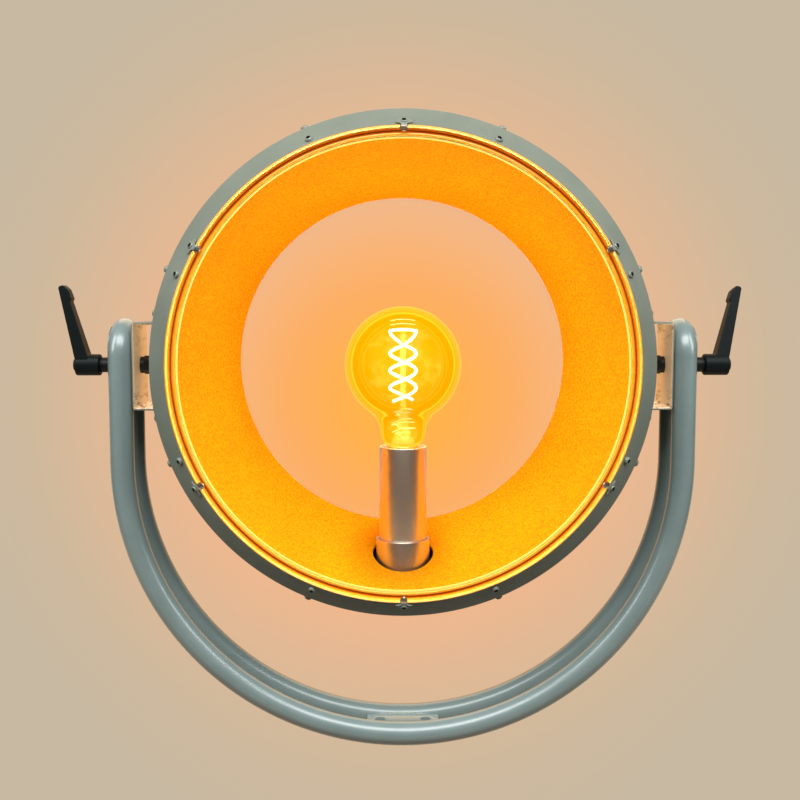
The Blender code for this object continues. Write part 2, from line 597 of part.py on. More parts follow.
def bulb():
    """The amber globe, its screw cap, its glass stem and its double-helix filament."""
    globe = [(GLOBE_RADIUS * math.sin(math.radians(a)), GLOBE_RADIUS * math.cos(math.radians(a)))
             for a in range(0, 141, 20)]
    neck = [(0.0245, -0.0415), (0.0202, -0.0470), (0.0187, -0.0525), (0.0182, -0.0580), (0.0160, -0.0630),
            (0.0134, NECK_END_Z)]
    share = (GLOBE_RADIUS - GLASS) / GLOBE_RADIUS
    inner = [(radius * share, z * share) for radius, z in globe]
    inner += [(radius - GLASS, z) for radius, z in neck]
    profile = globe + neck + list(reversed(inner))
    piece("bulb_glass", turned(profile, 20), AMBER_GLASS, bulb_axis)

    top = NECK_END_Z - GAP
    cap = [(0, top - 0.0285), (0.0040, top - 0.0285), (0.0046, top - 0.0270), (0.0105, top - 0.0255)]
    for turn in range(4):
        z = top - 0.0240 + turn * 0.0045
        cap += [(0.0131, z), (0.0121, z + 0.00225)]
    cap += [(0.0131, top - 0.0055), (0.0131, top), (0, top)]
    piece("bulb_cap", turned(cap, 14), PLAIN_BRASS, bulb_axis)

    top_z = FILAMENT_LOW_Z + FILAMENT_TURNS * FILAMENT_PITCH
    stem = [(0, NECK_END_Z + GAP), (0.0110, NECK_END_Z + GAP), (0.0090, -0.0620), (0.0048, -0.0550),
            (0.0042, -0.0430), (0.0034, -0.0370), (0.0012, -0.0340), (0.0009, -0.0300),
            (0.0009, top_z - 0.0022), (0, top_z - 0.0014)]
    piece("bulb_stem", turned(stem, 10), STEM_GLASS, bulb_axis)

    steps = 10 * FILAMENT_TURNS

    def strand(phase):
        """One rising strand of the helix."""
        angles = [math.tau * FILAMENT_TURNS * step / steps for step in range(steps + 1)]
        return [(FILAMENT_RADIUS * math.cos(a + phase), FILAMENT_RADIUS * math.sin(a + phase),
                 FILAMENT_LOW_Z + FILAMENT_PITCH * a / math.tau) for a in angles]

    foot = [(0.0052, 0, -0.0400), (0.0080, 0, -0.0360)]
    wire = foot + strand(0) + [(0.006, 0, top_z + 0.0006), (0, 0, top_z + 0.001), (-0.006, 0, top_z + 0.0006)]
    wire += list(reversed(strand(math.pi))) + [(-x, y, z) for x, y, z in reversed(foot)]
    tube("bulb_filament", wire, 0.0006, FILAMENT, bulb_axis, sides=4)


# ---------------------------------------------------------------- clamping levers

def lever_insert(side):
    """The threaded metal insert that screws onto the bolt, with its toothed boss."""
    profile = [(0, LEVER_HUB_X - 0.0006), (BOLT_RADIUS + GAP, LEVER_HUB_X - 0.0006),
               (BOLT_RADIUS + GAP, LEVER_COLLAR_X), (LEVER_COLLAR_RADIUS, LEVER_COLLAR_X),
               (LEVER_COLLAR_RADIUS, LEVER_HUB_X - GAP), (LEVER_BOSS_RADIUS, LEVER_HUB_X - GAP),
               (LEVER_BOSS_RADIUS, LEVER_BOSS_END_X), (0.0023, LEVER_BOSS_END_X),
               (0.0023, LEVER_HUB_X + 0.0012), (0, LEVER_HUB_X + 0.0012)]
    piece("lever_insert_" + side, turned(profile, 16, "X"), BLACK_STEEL, lever_axis[side])


def lever_handle(side):
    """The moulded hub and the flat arm that leans outwards, with its thumb pad."""
    turn = Matrix.Rotation(LEVER_TURN[side], 4, "X")
    radius = LEVER_HUB_RADIUS
    bore = LEVER_BOSS_RADIUS + 0.0006
    profile = [(bore, LEVER_HUB_X), (radius - 0.001, LEVER_HUB_X), (radius, LEVER_HUB_X + 0.001),
               (radius, LEVER_HUB_END_X - 0.002), (radius - 0.0015, LEVER_HUB_END_X),
               (0.0052, LEVER_HUB_END_X), (0.0052, LEVER_POCKET_X), (0.0025, LEVER_POCKET_X),
               (0.0025, LEVER_SHOULDER_X), (bore, LEVER_SHOULDER_X)]
    handle = piece("lever_handle_" + side, turned(profile, 20, "X", closed=True), LEVER_BLACK,
                   lever_axis[side], turn)
    base_z = 0.0068
    arm = [(0.2538, base_z), (0.2655, base_z), (0.2774, 0.0622), (0.2767, 0.0636), (0.2733, 0.0645),
           (0.2693, 0.0610), (0.2666, 0.0530), (0.2679, 0.0516)]
    bm = bmesh.new()

    def half_width(z):
        """The arm narrows evenly from the hub to the tip."""
        return 0.0075 - 0.0027 * (z - base_z) / (0.0645 - base_z)

    front = [bm.verts.new((x, -half_width(z), z)) for x, z in arm]
    back = [bm.verts.new((x, half_width(z), z)) for x, z in arm]
    bm.faces.new(front)
    bm.faces.new(list(reversed(back)))
    for index in range(len(arm)):
        following = (index + 1) % len(arm)
        bm.faces.new((front[index], front[following], back[following], back[index]))
    long_edges = [edge for edge in bm.edges
                  if abs(edge.verts[0].co.z - edge.verts[1].co.z) > 0.02 and edge.verts[0].co.y *
                  edge.verts[1].co.y > 0]
    bmesh.ops.bevel(bm, geom=long_edges, offset=0.0012, segments=1, affect="EDGES")
    blade = cutter("lever_arm_" + side, [bm], lever_axis[side], turn)
    combine(handle, blade, "UNION")
    pocket = drill(0.0052, LEVER_POCKET_X, LEVER_HUB_END_X + 0.004, TURN_TO["X"], 20)
    combine(handle, cutter("lever_pocket_" + side, [pocket], lever_axis[side], turn), "DIFFERENCE")


def lever_screw(side):
    """The retaining screw through the hub into the insert."""
    profile = [(0, LEVER_HUB_X + 0.0015), (0.0020, LEVER_HUB_X + 0.0015), (0.0020, LEVER_SCREW_HEAD_X),
               (0.0048, LEVER_SCREW_HEAD_X), (0.0048, LEVER_SCREW_END_X - 0.0006),
               (0.0042, LEVER_SCREW_END_X), (0.0015, LEVER_SCREW_END_X),
               (0.0015, LEVER_SCREW_END_X - 0.0018), (0, LEVER_SCREW_END_X - 0.0018)]
    piece("lever_screw_" + side, turned(profile, 16, "X"), BLACK_STEEL, lever_axis[side])


def lever_spring(side):
    """The small spring in the hub's pocket that pulls the handle back into mesh."""
    wire = 0.0004
    low = LEVER_POCKET_X + wire + GAP
    high = LEVER_SCREW_HEAD_X - wire - GAP
    turns = 3
    steps = 8 * turns
    coil = []
    for step in range(steps + 1):
        angle = math.tau * turns * step / steps
        coil.append((low + (high - low) * step / steps, 0.0038 * math.cos(angle), 0.0038 * math.sin(angle)))
    tube("lever_spring_" + side, coil, wire, SPRING_STEEL, lever_axis[side], sides=4)


outer_shell()
front_rim()
filter_seat_ring()
reflector_cone()
rear_ring()
head_screws()
filter_clips()
cable_gland()
lampholder()
bulb()
for each_side in SIDES:
    side_bracket(each_side)
    pivot_bolt(each_side)
    pivot_plate(each_side)
    pivot_bush(each_side)
    lever_insert(each_side)
    lever_handle(each_side)
    lever_screw(each_side)
    lever_spring(each_side)
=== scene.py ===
"""Ring lamp in a tube yoke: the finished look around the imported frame. Metres, +Z up, the front faces -Y."""

import math

import bmesh
import bpy
from mathutils import Matrix, Vector


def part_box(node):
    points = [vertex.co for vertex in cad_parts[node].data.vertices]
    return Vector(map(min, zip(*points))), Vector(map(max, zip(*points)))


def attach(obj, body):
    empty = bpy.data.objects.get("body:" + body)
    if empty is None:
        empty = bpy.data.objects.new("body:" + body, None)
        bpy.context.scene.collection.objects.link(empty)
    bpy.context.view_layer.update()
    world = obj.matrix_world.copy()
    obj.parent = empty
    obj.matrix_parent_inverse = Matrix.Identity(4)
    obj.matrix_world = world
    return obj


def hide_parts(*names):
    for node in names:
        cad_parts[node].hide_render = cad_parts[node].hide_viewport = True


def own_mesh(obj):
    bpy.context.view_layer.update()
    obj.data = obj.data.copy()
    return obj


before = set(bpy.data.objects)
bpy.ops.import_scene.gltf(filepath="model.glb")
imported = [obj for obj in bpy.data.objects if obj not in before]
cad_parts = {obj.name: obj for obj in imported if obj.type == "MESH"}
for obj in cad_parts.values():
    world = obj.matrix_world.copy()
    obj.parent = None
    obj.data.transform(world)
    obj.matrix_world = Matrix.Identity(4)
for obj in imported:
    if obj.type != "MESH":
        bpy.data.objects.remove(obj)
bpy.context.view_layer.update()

# ============================================================ Studio
# A pale sweep of seamless paper, with a warm glow painted on it behind the ring: an emissive gradient that
# stands in for the lamp's light on the paper and doesn't move with the head. A wide softbox hangs above and in
# front of the lamp, a strip light on each side, and a weak warm light behind. The lamp is held by its mounting
# plate, so nothing stands on the floor.


class Wire:
    """One output socket in a material. Sums and products with it add Math nodes, node() adds any other."""

    def __init__(self, socket):
        self.socket = socket

    def node(self, kind, settings, sockets, output=0):
        """Adds a node: first its settings, then a value or a wire for each of its sockets."""
        made = self.socket.id_data.nodes.new(kind)
        for name, value in settings.items():
            if name == "stops":
                set_stops(made.color_ramp, value)
            else:
                setattr(made, name, value)
        plug(made, sockets)
        return Wire(made.outputs[output])

    def math(self, operation, first, second=0.0):
        return self.node("ShaderNodeMath", {"operation": operation}, {0: first, 1: second})

    def __add__(self, other):
        return self.math("ADD", self, other)

    def __sub__(self, other):
        return self.math("SUBTRACT", self, other)

    def __rsub__(self, other):
        return self.math("SUBTRACT", other, self)

    def __mul__(self, other):
        return self.math("MULTIPLY", self, other)

    def __truediv__(self, other):
        return self.math("DIVIDE", self, other)

    def __gt__(self, other):
        return self.math("GREATER_THAN", self, other)

    def __lt__(self, other):
        return self.math("LESS_THAN", self, other)

    def __abs__(self):
        return self.math("ABSOLUTE", self)

    __radd__ = __add__
    __rmul__ = __mul__

    def axis(self, letter):
        """One coordinate of a position."""
        return self.node("ShaderNodeSeparateXYZ", {}, {"Vector": self}, output="XYZ".index(letter))

    def stretched(self, x, y, z):
        """A position scaled along each axis."""
        return self.node("ShaderNodeVectorMath", {"operation": "MULTIPLY"}, {0: self, 1: (x, y, z)})

    def noise(self, scale, detail=3.0, roughness=0.55):
        """Noise from 0 to 1 at a position, with about that many patches to a metre."""
        sockets = {"Vector": self, "Scale": scale, "Detail": detail, "Roughness": roughness}
        return self.node("ShaderNodeTexNoise", {"noise_dimensions": "3D"}, sockets)

    def ramp(self, stops):
        """A colour for each value, from (value, colour) stops."""
        return self.node("ShaderNodeValToRGB", {"stops": stops}, {"Fac": self})

    def steps(self, low, high, new_low=0.0, new_high=1.0):
        """This value's run from low to high, stretched to a new run and held at its ends."""
        sockets = {"Value": self, "From Min": low, "From Max": high, "To Min": new_low, "To Max": new_high}
        return self.node("ShaderNodeMapRange", {"clamp": True}, sockets)

    def blend(self, first, second):
        """The first colour where this value is 0, the second where it is 1."""
        return self.node("ShaderNodeMix", {"data_type": "RGBA"}, {0: self, 6: first, 7: second}, output=2)

    def bump(self, depth, strength=1.0):
        """A normal from this value as a height, with its full depth in metres."""
        return self.node("ShaderNodeBump", {}, {"Height": self, "Distance": depth, "Strength": strength})


def set_stops(ramp, stops):
    """Gives a colour ramp its stops."""
    while len(ramp.elements) < len(stops):
        ramp.elements.new(1.0)
    for element, (place, colour) in zip(ramp.elements, stops):
        element.position = place
        element.color = (*colour, 1.0)


def plug(node, sockets):
    """Sets a node's sockets, or links wires to them."""
    for name, value in sockets.items():
        socket = node.inputs[name]
        if isinstance(value, Wire):
            socket.id_data.links.new(value.socket, socket)
        elif socket.type == "RGBA":
            socket.default_value = (*value, 1.0)
        else:
            socket.default_value = value


def paint(red, green, blue):
    """A colour from its values of 0 to 255 on a screen."""
    shares = [value / 255 for value in (red, green, blue)]
    return tuple(share / 12.92 if share <= 0.04045 else ((share + 0.055) / 1.055) ** 2.4 for share in shares)


def new_material(name):
    """A node material and the wire of its own object's coordinates."""
    material = bpy.data.materials.new(name)
    material.use_nodes = True
    coordinates = material.node_tree.nodes.new("ShaderNodeTexCoord")
    return material, Wire(coordinates.outputs["Object"])


def shader_of(material):
    return material.node_tree.nodes["Principled BSDF"]


SHELL_LOW, SHELL_HIGH = (Vector(corner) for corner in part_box("outer_shell"))
SHELL_RADIUS = (SHELL_HIGH.x - SHELL_LOW.x) / 2
PIVOT = Vector((0, 0, (SHELL_LOW.z + SHELL_HIGH.z) / 2))

PAPER_WIDTH = 6.0
PAPER_FRONT_Y = -3.0
PAPER_WALL_Y = 1.7
PAPER_FLOOR_Z = PIVOT.z - 1.25
PAPER_TOP_Z = PIVOT.z + 2.2
PAPER_BEND = 0.45
GLOW_CENTRE = PIVOT + Vector((0.016, PAPER_WALL_Y, -0.181))
GLOW_REACH = 1.07
PALE_PAPER = (200, 185, 162)
GLOW_STOPS = [
    (0.00, (254, 181, 66)), (0.12, (255, 178, 78)), (0.24, (253, 175, 99)), (0.33, (250, 180, 118)),
    (0.41, (244, 184, 134)), (0.51, (236, 184, 144)), (0.67, (221, 185, 151)), (0.82, (207, 185, 157)),
    (1.00, PALE_PAPER),
]
GLOW_AS_LIGHT = 0.10
WARM_ROOM = (230, 165, 95)
ROOM_AS_LIGHT = 0.05

bend_steps = 16
sweep_line = [(PAPER_FRONT_Y, PAPER_FLOOR_Z)]
for step in range(bend_steps + 1):
    bend_angle = math.radians(-90 + 90 * step / bend_steps)
    sweep_line.append((PAPER_WALL_Y - PAPER_BEND + PAPER_BEND * math.cos(bend_angle),
                       PAPER_FLOOR_Z + PAPER_BEND + PAPER_BEND * math.sin(bend_angle)))
sweep_line.append((PAPER_WALL_Y, PAPER_TOP_Z))
sweep_bm = bmesh.new()
sweep_edges = (-PAPER_WIDTH / 2, PAPER_WIDTH / 2)
sweep_rows = [[sweep_bm.verts.new((x, y, z)) for y, z in sweep_line] for x in sweep_edges]
for index in range(len(sweep_line) - 1):
    sweep_bm.faces.new((sweep_rows[0][index], sweep_rows[1][index], sweep_rows[1][index + 1],
                        sweep_rows[0][index + 1]))
sweep_mesh = bpy.data.meshes.new("paper_sweep")
sweep_bm.to_mesh(sweep_mesh)
sweep_bm.free()
sweep_mesh.shade_smooth()
paper_sweep = bpy.data.objects.new("paper_sweep", sweep_mesh)
bpy.context.scene.collection.objects.link(paper_sweep)

paper, paper_place = new_material("seamless_paper")
# Painted light: the glow is an emissive colour gradient round a fixed point behind the ring, not light from
# the bulb.
from_glow = paper_place.node("ShaderNodeVectorMath", {"operation": "DISTANCE"},
                             {0: paper_place, 1: GLOW_CENTRE}, output="Value")
glow = (from_glow / GLOW_REACH).ramp([(place, paint(*colour)) for place, colour in GLOW_STOPS])
seen = paper_place.node("ShaderNodeLightPath", {}, {}, output="Is Camera Ray")
mirrored = paper_place.node("ShaderNodeLightPath", {}, {}, output="Is Glossy Ray")
brightness = (seen + mirrored) * (1 - GLOW_AS_LIGHT) + GLOW_AS_LIGHT
plug(shader_of(paper), {
    "Base Color": (0, 0, 0),
    "Roughness": 1.0,
    "Specular IOR Level": 0.0,
    "Emission Color": brightness.blend((0, 0, 0), glow),
    "Emission Strength": 1.0,
})
sweep_mesh.materials.append(paper)

world = bpy.data.worlds.new("studio")
world.use_nodes = True
bpy.context.scene.world = world
background = world.node_tree.nodes["Background"]
seen_by_camera = Wire(world.node_tree.nodes.new("ShaderNodeLightPath").outputs["Is Camera Ray"])
plug(background, {
    "Color": seen_by_camera.blend(paint(*WARM_ROOM), paint(*PALE_PAPER)),
    "Strength": seen_by_camera * (1 - ROOM_AS_LIGHT) + ROOM_AS_LIGHT,
})

CAMERA_LENS = 49.5
CAMERA_PLACE = Vector((-0.012, -0.896, 0.051))
CAMERA_LOOKS_DOWN = 5.1
CAMERA_LOOKS_RIGHT = 0.61
camera_data = bpy.data.cameras.new("camera")
camera_data.lens = CAMERA_LENS
camera = bpy.data.objects.new("camera", camera_data)
camera.location = PIVOT + CAMERA_PLACE
camera.rotation_euler = (math.radians(90 - CAMERA_LOOKS_DOWN), 0, math.radians(-CAMERA_LOOKS_RIGHT))
bpy.context.scene.collection.objects.link(camera)
bpy.context.scene.camera = camera
bpy.context.scene.view_settings.view_transform = "Standard"


COOL_WHITE = (0.95, 1.0, 1.0)
WARM_WHITE = (1.0, 0.70, 0.42)
TOP_LIGHT_PLACE = Vector((0, -1.18, 1.40))
TOP_LIGHT_SIZE = (2.0, 0.9)
TOP_LIGHT_WATTS = 42
STRIP_LIGHT_PLACE = Vector((1.35, -0.6, 0.80))
STRIP_LIGHT_SIZE = (0.5, 1.1)
STRIP_LIGHT_WATTS = 12.5
REAR_LIGHT_PLACE = Vector((0, 1.25, 1.10))
REAR_LIGHT_SIZE = (1.8, 1.3)
REAR_LIGHT_WATTS = 9


def softbox(name, place, size, watts, colour):
    """A rectangular light of (width, height), at a place from the pivot, that faces the pivot."""
    light = bpy.data.lights.new(name, "AREA")
    light.shape = "RECTANGLE"
    light.size, light.size_y = size
    light.energy = watts
    light.color = colour
    made = bpy.data.objects.new(name, light)
    made.location = PIVOT + place
    made.rotation_euler = place.to_track_quat("Z", "Y").to_euler()
    bpy.context.scene.collection.objects.link(made)
    return made


softbox("softbox_top", TOP_LIGHT_PLACE, TOP_LIGHT_SIZE, TOP_LIGHT_WATTS, COOL_WHITE)
side_lights = []
for name, mirror in (("strip_left", -1), ("strip_right", 1)):
    strip_place = Vector((mirror * STRIP_LIGHT_PLACE.x, STRIP_LIGHT_PLACE.y, STRIP_LIGHT_PLACE.z))
    side_lights.append(softbox(name, strip_place, STRIP_LIGHT_SIZE, STRIP_LIGHT_WATTS, COOL_WHITE))
side_lights.append(softbox("glow_rear", REAR_LIGHT_PLACE, REAR_LIGHT_SIZE, REAR_LIGHT_WATTS, WARM_WHITE))

# ============================================================ Bent tube
# One closed loop of 19 mm steel tube, bent on a former into a front bow and a rear bow that meet in a
# hairpin at the top of each leg, butt-welded, and stove enamelled in a satin blue-grey green.


def arc(centre, radius, start, end, steps):
    """Points along an arc, angles in degrees."""
    angles = [math.radians(start + (end - start) * step / steps) for step in range(steps + 1)]
    return [(centre[0] + radius * math.cos(a), centre[1] + radius * math.sin(a)) for a in angles]


def wire_curve(name, points, radius, sides, cyclic=False, swell=None):
    """A round tube, rod or wire along a line of points. swell gives each point's share of the radius."""
    curve = bpy.data.curves.new(name, "CURVE")
    curve.dimensions = "3D"
    curve.bevel_depth = radius
    curve.bevel_resolution = max(0, (sides - 4) // 2)
    curve.use_fill_caps = not cyclic
    spline = curve.splines.new("POLY")
    spline.points.add(len(points) - 1)
    for index, place in enumerate(points):
        spline.points[index].co = (*place, 1.0)
        if swell:
            spline.points[index].radius = swell[index]
    spline.use_cyclic_u = cyclic
    spline.use_smooth = True
    return curve


def shaded(mesh, sharp=35):
    """The mesh with rounded shading, except where faces meet at more than the sharp angle in degrees."""
    mesh.shade_smooth()
    mesh.set_sharp_from_angle(angle=math.radians(sharp))
    return mesh


def mesh_from(name, bm, sharp=35):
    """A shaded mesh from a bmesh, with its faces pointing out."""
    bmesh.ops.recalc_face_normals(bm, faces=bm.faces[:])
    mesh = bpy.data.meshes.new(name)
    bm.to_mesh(mesh)
    bm.free()
    return shaded(mesh, sharp)


def fit(name, data, material, body, nodes=(), place=None):
    """Puts a mesh or a curve on the lamp as a piece that moves with a body and stands for CAD nodes."""
    piece = bpy.data.objects.new(name, data)
    bpy.context.scene.collection.objects.link(piece)
    if not data.materials:
        data.materials.append(material)
    if place:
        piece.matrix_world = place
        bpy.context.view_layer.update()
    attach(piece, body)
    if nodes:
        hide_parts(*nodes)
    return piece


TUBE_LOW, TUBE_HIGH = (Vector(corner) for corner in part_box("yoke_tube"))
TUBE_RADIUS = 0.0095
BOW_RADIUS = TUBE_HIGH.x - TUBE_RADIUS
BOW_Y = TUBE_HIGH.y - TUBE_RADIUS
BOW_CENTRE_Z = TUBE_LOW.z + TUBE_RADIUS + BOW_RADIUS
HAIRPIN_Z = TUBE_HIGH.z - TUBE_RADIUS - BOW_Y
YOKE_GREEN = (0.250, 0.318, 0.309)
YOKE_GREEN_DARK = (0.224, 0.290, 0.281)


def bow(y):
    """One bow from the foot of its left leg through the bottom to its right leg."""
    return [(x, y, z) for x, z in arc((0, BOW_CENTRE_Z), BOW_RADIUS, 180, 360, 96)]


def hairpin(x):
    """The bend over from the front bow to the rear bow."""
    return [(x, y, z) for y, z in arc((0, HAIRPIN_Z), BOW_Y, 180, 0, 20)]


tube_line = bow(-BOW_Y) + hairpin(BOW_RADIUS) + bow(BOW_Y)[::-1] + hairpin(-BOW_RADIUS)[::-1]
yoke_enamel, spot = new_material("yoke_enamel")
mottle = spot.noise(28, 4)
orange_peel = spot.noise(520, 2)
plug(shader_of(yoke_enamel), {
    "Base Color": mottle.steps(0.35, 0.65).blend(YOKE_GREEN_DARK, YOKE_GREEN),
    "Roughness": spot.noise(140, 3).steps(0.3, 0.7, 0.30, 0.40),
    "Normal": orange_peel.bump(0.00006, 0.3),
    "Specular IOR Level": 0.7,
    "Coat Weight": 1.0,
    "Coat Roughness": 0.24,
})
tube_curve = wire_curve("bent_tube", tube_line, TUBE_RADIUS, 28, cyclic=True)
fit("bent_tube", tube_curve, yoke_enamel, "yoke", ["yoke_tube"])

# ============================================================ Mounting plate
# A short piece of 5 mm flat steel between the two bows at the bottom, with two holes for M8 bolts. Four
# ripple welds hold it to the tubes, and it is enamelled with them.


def prism(outline, low, high, place=None):
    """An outline of (x, y) points extruded from z = low to z = high."""
    bm = bmesh.new()
    face = bm.faces.new([bm.verts.new((x, y, low)) for x, y in outline])
    grown = bmesh.ops.extrude_face_region(bm, geom=[face])
    top = [part for part in grown["geom"] if isinstance(part, bmesh.types.BMVert)]
    bmesh.ops.translate(bm, vec=(0, 0, high - low), verts=top)
    bmesh.ops.recalc_face_normals(bm, faces=bm.faces[:])
    if place:
        bmesh.ops.transform(bm, matrix=place, verts=bm.verts[:])
    return bm


def turned(profile, segments, closed=True):
    """A profile of (radius, height) points spun once round Z. An open one begins and ends on the axis."""
    bm = bmesh.new()
    rows = []
    for radius, height in profile:
        if radius < 1e-7:
            rows.append([bm.verts.new((0, 0, height))])
            continue
        ring = []
        for step in range(segments):
            angle = math.tau * step / segments
            ring.append(bm.verts.new((radius * math.cos(angle), radius * math.sin(angle), height)))
        rows.append(ring)
    pairs = list(zip(rows, rows[1:]))
    if closed:
        pairs.append((rows[-1], rows[0]))
    for first, second in pairs:
        for step in range(segments):
            following = (step + 1) % segments
            corners = [first[step % len(first)], first[following % len(first)],
                       second[following % len(second)], second[step % len(second)]]
            bm.faces.new(list(dict.fromkeys(corners)))
    bmesh.ops.recalc_face_normals(bm, faces=bm.faces[:])
    return bm


def softened(outline, radius, steps=3, closed=True):
    """The outline with each corner rounded off over about that radius."""
    count = len(outline)
    soft = []
    for index in range(count):
        corner = Vector(outline[index])
        if not closed and index in (0, count - 1):
            soft.append(tuple(corner))
            continue
        before = Vector(outline[index - 1]) - corner
        after = Vector(outline[(index + 1) % count]) - corner
        cut = min(radius, before.length * 0.42, after.length * 0.42)
        start = corner + before.normalized() * cut
        end = corner + after.normalized() * cut
        for step in range(steps + 1):
            share = step / steps
            soft.append(tuple(start * (1 - share) ** 2 + corner * 2 * share * (1 - share) + end * share ** 2))
    return soft


def solid(bm, name="tool"):
    """A loose object from a bmesh, for cutting and joining."""
    made = bpy.data.objects.new(name, mesh_from(name, bm))
    bpy.context.scene.collection.objects.link(made)
    return made


def settled(made):
    """The object's mesh with its modifiers worked in. The object goes."""
    bpy.context.view_layer.update()
    graph = bpy.context.evaluated_depsgraph_get()
    mesh = bpy.data.meshes.new_from_object(made.evaluated_get(graph))
    bpy.data.objects.remove(made)
    return mesh


def carved(bm, tools, operation="DIFFERENCE"):
    """The loose object of a bmesh with other bmeshes cut away or joined on, one after another."""
    body = solid(bm)
    for tool_bm in tools:
        tool = solid(tool_bm)
        modifier = body.modifiers.new("cut", "BOOLEAN")
        modifier.operation = operation
        modifier.object = tool
        mesh = settled(body)
        body = bpy.data.objects.new("tool", mesh)
        bpy.context.scene.collection.objects.link(body)
        bpy.data.objects.remove(tool)
    return body


def eased(body, width, steps=2, limit=35):
    """The mesh of a loose object with its sharp edges rounded."""
    modifier = body.modifiers.new("ease", "BEVEL")
    modifier.width = width
    modifier.segments = steps
    modifier.limit_method = "ANGLE"
    modifier.angle_limit = math.radians(limit)
    modifier.harden_normals = False
    return shaded(settled(body), 40)


def rod(radius, low, high, place, segments=32):
    """A round tool along its own Z."""
    bm = turned([(0, low), (radius, low), (radius, high), (0, high)], segments, closed=False)
    bmesh.ops.transform(bm, matrix=place, verts=bm.verts[:])
    return bm


PLATE_LOW, PLATE_HIGH = (Vector(corner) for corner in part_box("mount_plate"))
PLATE_CORNER = 0.004
PLATE_HOLE_RADIUS = 0.0043
PLATE_HOLE_X = 0.019
plate_outline = softened([(PLATE_HIGH.x, PLATE_HIGH.y), (PLATE_LOW.x, PLATE_HIGH.y),
                          (PLATE_LOW.x, PLATE_LOW.y), (PLATE_HIGH.x, PLATE_LOW.y)], PLATE_CORNER, 6)
plate_holes = [rod(PLATE_HOLE_RADIUS, -0.01, 0.01, Matrix.Translation((x, 0, 0)))
               for x in (-PLATE_HOLE_X, PLATE_HOLE_X)]
plate_mesh = eased(carved(prism(plate_outline, PLATE_LOW.z, PLATE_HIGH.z), plate_holes), 0.0004)
fit("mounting_plate", plate_mesh, yoke_enamel, "yoke", ["mount_plate"])

WELD_LENGTH = 0.046
WELD_Y = 0.0112
WELD_RIPPLES = 11
RIPPLE_STEPS = 4
RIPPLE_DEPTH = 0.14
UPPER_WELD = {"z": PLATE_HIGH.z - 0.0005, "radius": 0.0017}
LOWER_WELD = {"z": 0.0002, "radius": 0.0010}
weld_places = [(-WELD_Y, UPPER_WELD), (WELD_Y, UPPER_WELD), (-WELD_Y, LOWER_WELD), (WELD_Y, LOWER_WELD)]
for weld_number, (weld_y, weld_size) in enumerate(weld_places, 1):
    weld_line = []
    weld_swell = []
    for step in range(WELD_RIPPLES * RIPPLE_STEPS + 1):
        along = step / (WELD_RIPPLES * RIPPLE_STEPS)
        weld_line.append(((along - 0.5) * WELD_LENGTH, weld_y, weld_size["z"]))
        taper = min(1.0, 6 * min(along, 1 - along) + 0.35)
        ripple = math.cos(math.tau * step / RIPPLE_STEPS)
        weld_swell.append(taper * (1 - RIPPLE_DEPTH + RIPPLE_DEPTH * ripple))
    weld = wire_curve(f"plate_weld_{weld_number}", weld_line, weld_size["radius"], 12, swell=weld_swell)
    fit(f"plate_weld_{weld_number}", weld, yoke_enamel, "yoke")

# ============================================================ Pivot plates and bushes
# On the outside of each leg a crowned, round-ended steel plate is welded over both bows, and a turned
# bush sits between them. The pivot bolt runs through both.

PIVOT_HOLE_RADIUS = 0.0044
PIVOT_PLATE_STEPS = 72
PIVOT_PLATE_LOW, PIVOT_PLATE_HIGH = (Vector(corner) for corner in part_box("pivot_plate_right"))
PIVOT_PLATE_HALF_WIDTH = PIVOT_PLATE_HIGH.y
PIVOT_PLATE_STRAIGHT = (PIVOT_PLATE_HIGH.z - PIVOT_PLATE_LOW.z) / 2 - PIVOT_PLATE_HALF_WIDTH
PIVOT_PLATE_CROWN = [(1.0, 0.0), (1.0, 0.12), (0.985, 0.26), (0.95, 0.38), (0.85, 0.56), (0.72, 0.72),
                     (0.56, 0.87), (0.38, 0.96), (0.2, 1.0), (0.0, 1.0), (0.0, 0.0)]
BUSH_LOW, BUSH_HIGH = (Vector(corner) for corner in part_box("pivot_bush_right"))


def stadium(half_width, straight, angle):
    """How far a round-ended outline lies from its middle in a direction."""
    side, rise = abs(math.cos(angle)), abs(math.sin(angle))
    if half_width * rise <= straight * side:
        return half_width / side
    return straight * rise + math.sqrt(half_width ** 2 - (straight * side) ** 2)


def skin(loops, closed=False):
    """Faces between loops of as many points each. Open ends are closed with one face."""
    bm = bmesh.new()
    rows = [[bm.verts.new(point) for point in loop] for loop in loops]
    pairs = list(zip(rows, rows[1:]))
    if closed:
        pairs.append((rows[-1], rows[0]))
    for first, second in pairs:
        for step in range(len(first)):
            following = (step + 1) % len(first)
            bm.faces.new((first[step], first[following], second[following], second[step]))
    if not closed:
        bm.faces.new(rows[0])
        bm.faces.new(rows[-1])
    return bm


zinc, spot = new_material("zinc_plate")
plug(shader_of(zinc), {
    "Base Color": spot.noise(220, 3).blend((0.50, 0.50, 0.48), (0.66, 0.66, 0.63)),
    "Roughness": spot.noise(600, 2).steps(0.3, 0.7, 0.25, 0.42),
    "Metallic": 1.0,
    "Normal": spot.noise(900, 2).bump(0.00005, 0.4),
})
SIDES = {"right": 1, "left": -1}
SIDE_TURN = {"right": Matrix.Identity(4), "left": Matrix.Rotation(math.pi, 4, "Z")}
ALONG_X = Matrix.Rotation(math.radians(90), 4, "Y")


def plate_loop(share, rise):
    """A loop from the bolt hole at share 0 to the plate's outline at share 1, at a share of its thickness."""
    x = PIVOT_PLATE_LOW.x + rise * (PIVOT_PLATE_HIGH.x - PIVOT_PLATE_LOW.x)
    loop = []
    for step in range(PIVOT_PLATE_STEPS):
        angle = math.tau * step / PIVOT_PLATE_STEPS
        edge = stadium(PIVOT_PLATE_HALF_WIDTH, PIVOT_PLATE_STRAIGHT, angle)
        reach = PIVOT_HOLE_RADIUS + (edge - PIVOT_HOLE_RADIUS) * share
        loop.append((x, reach * math.cos(angle), reach * math.sin(angle)))
    return loop


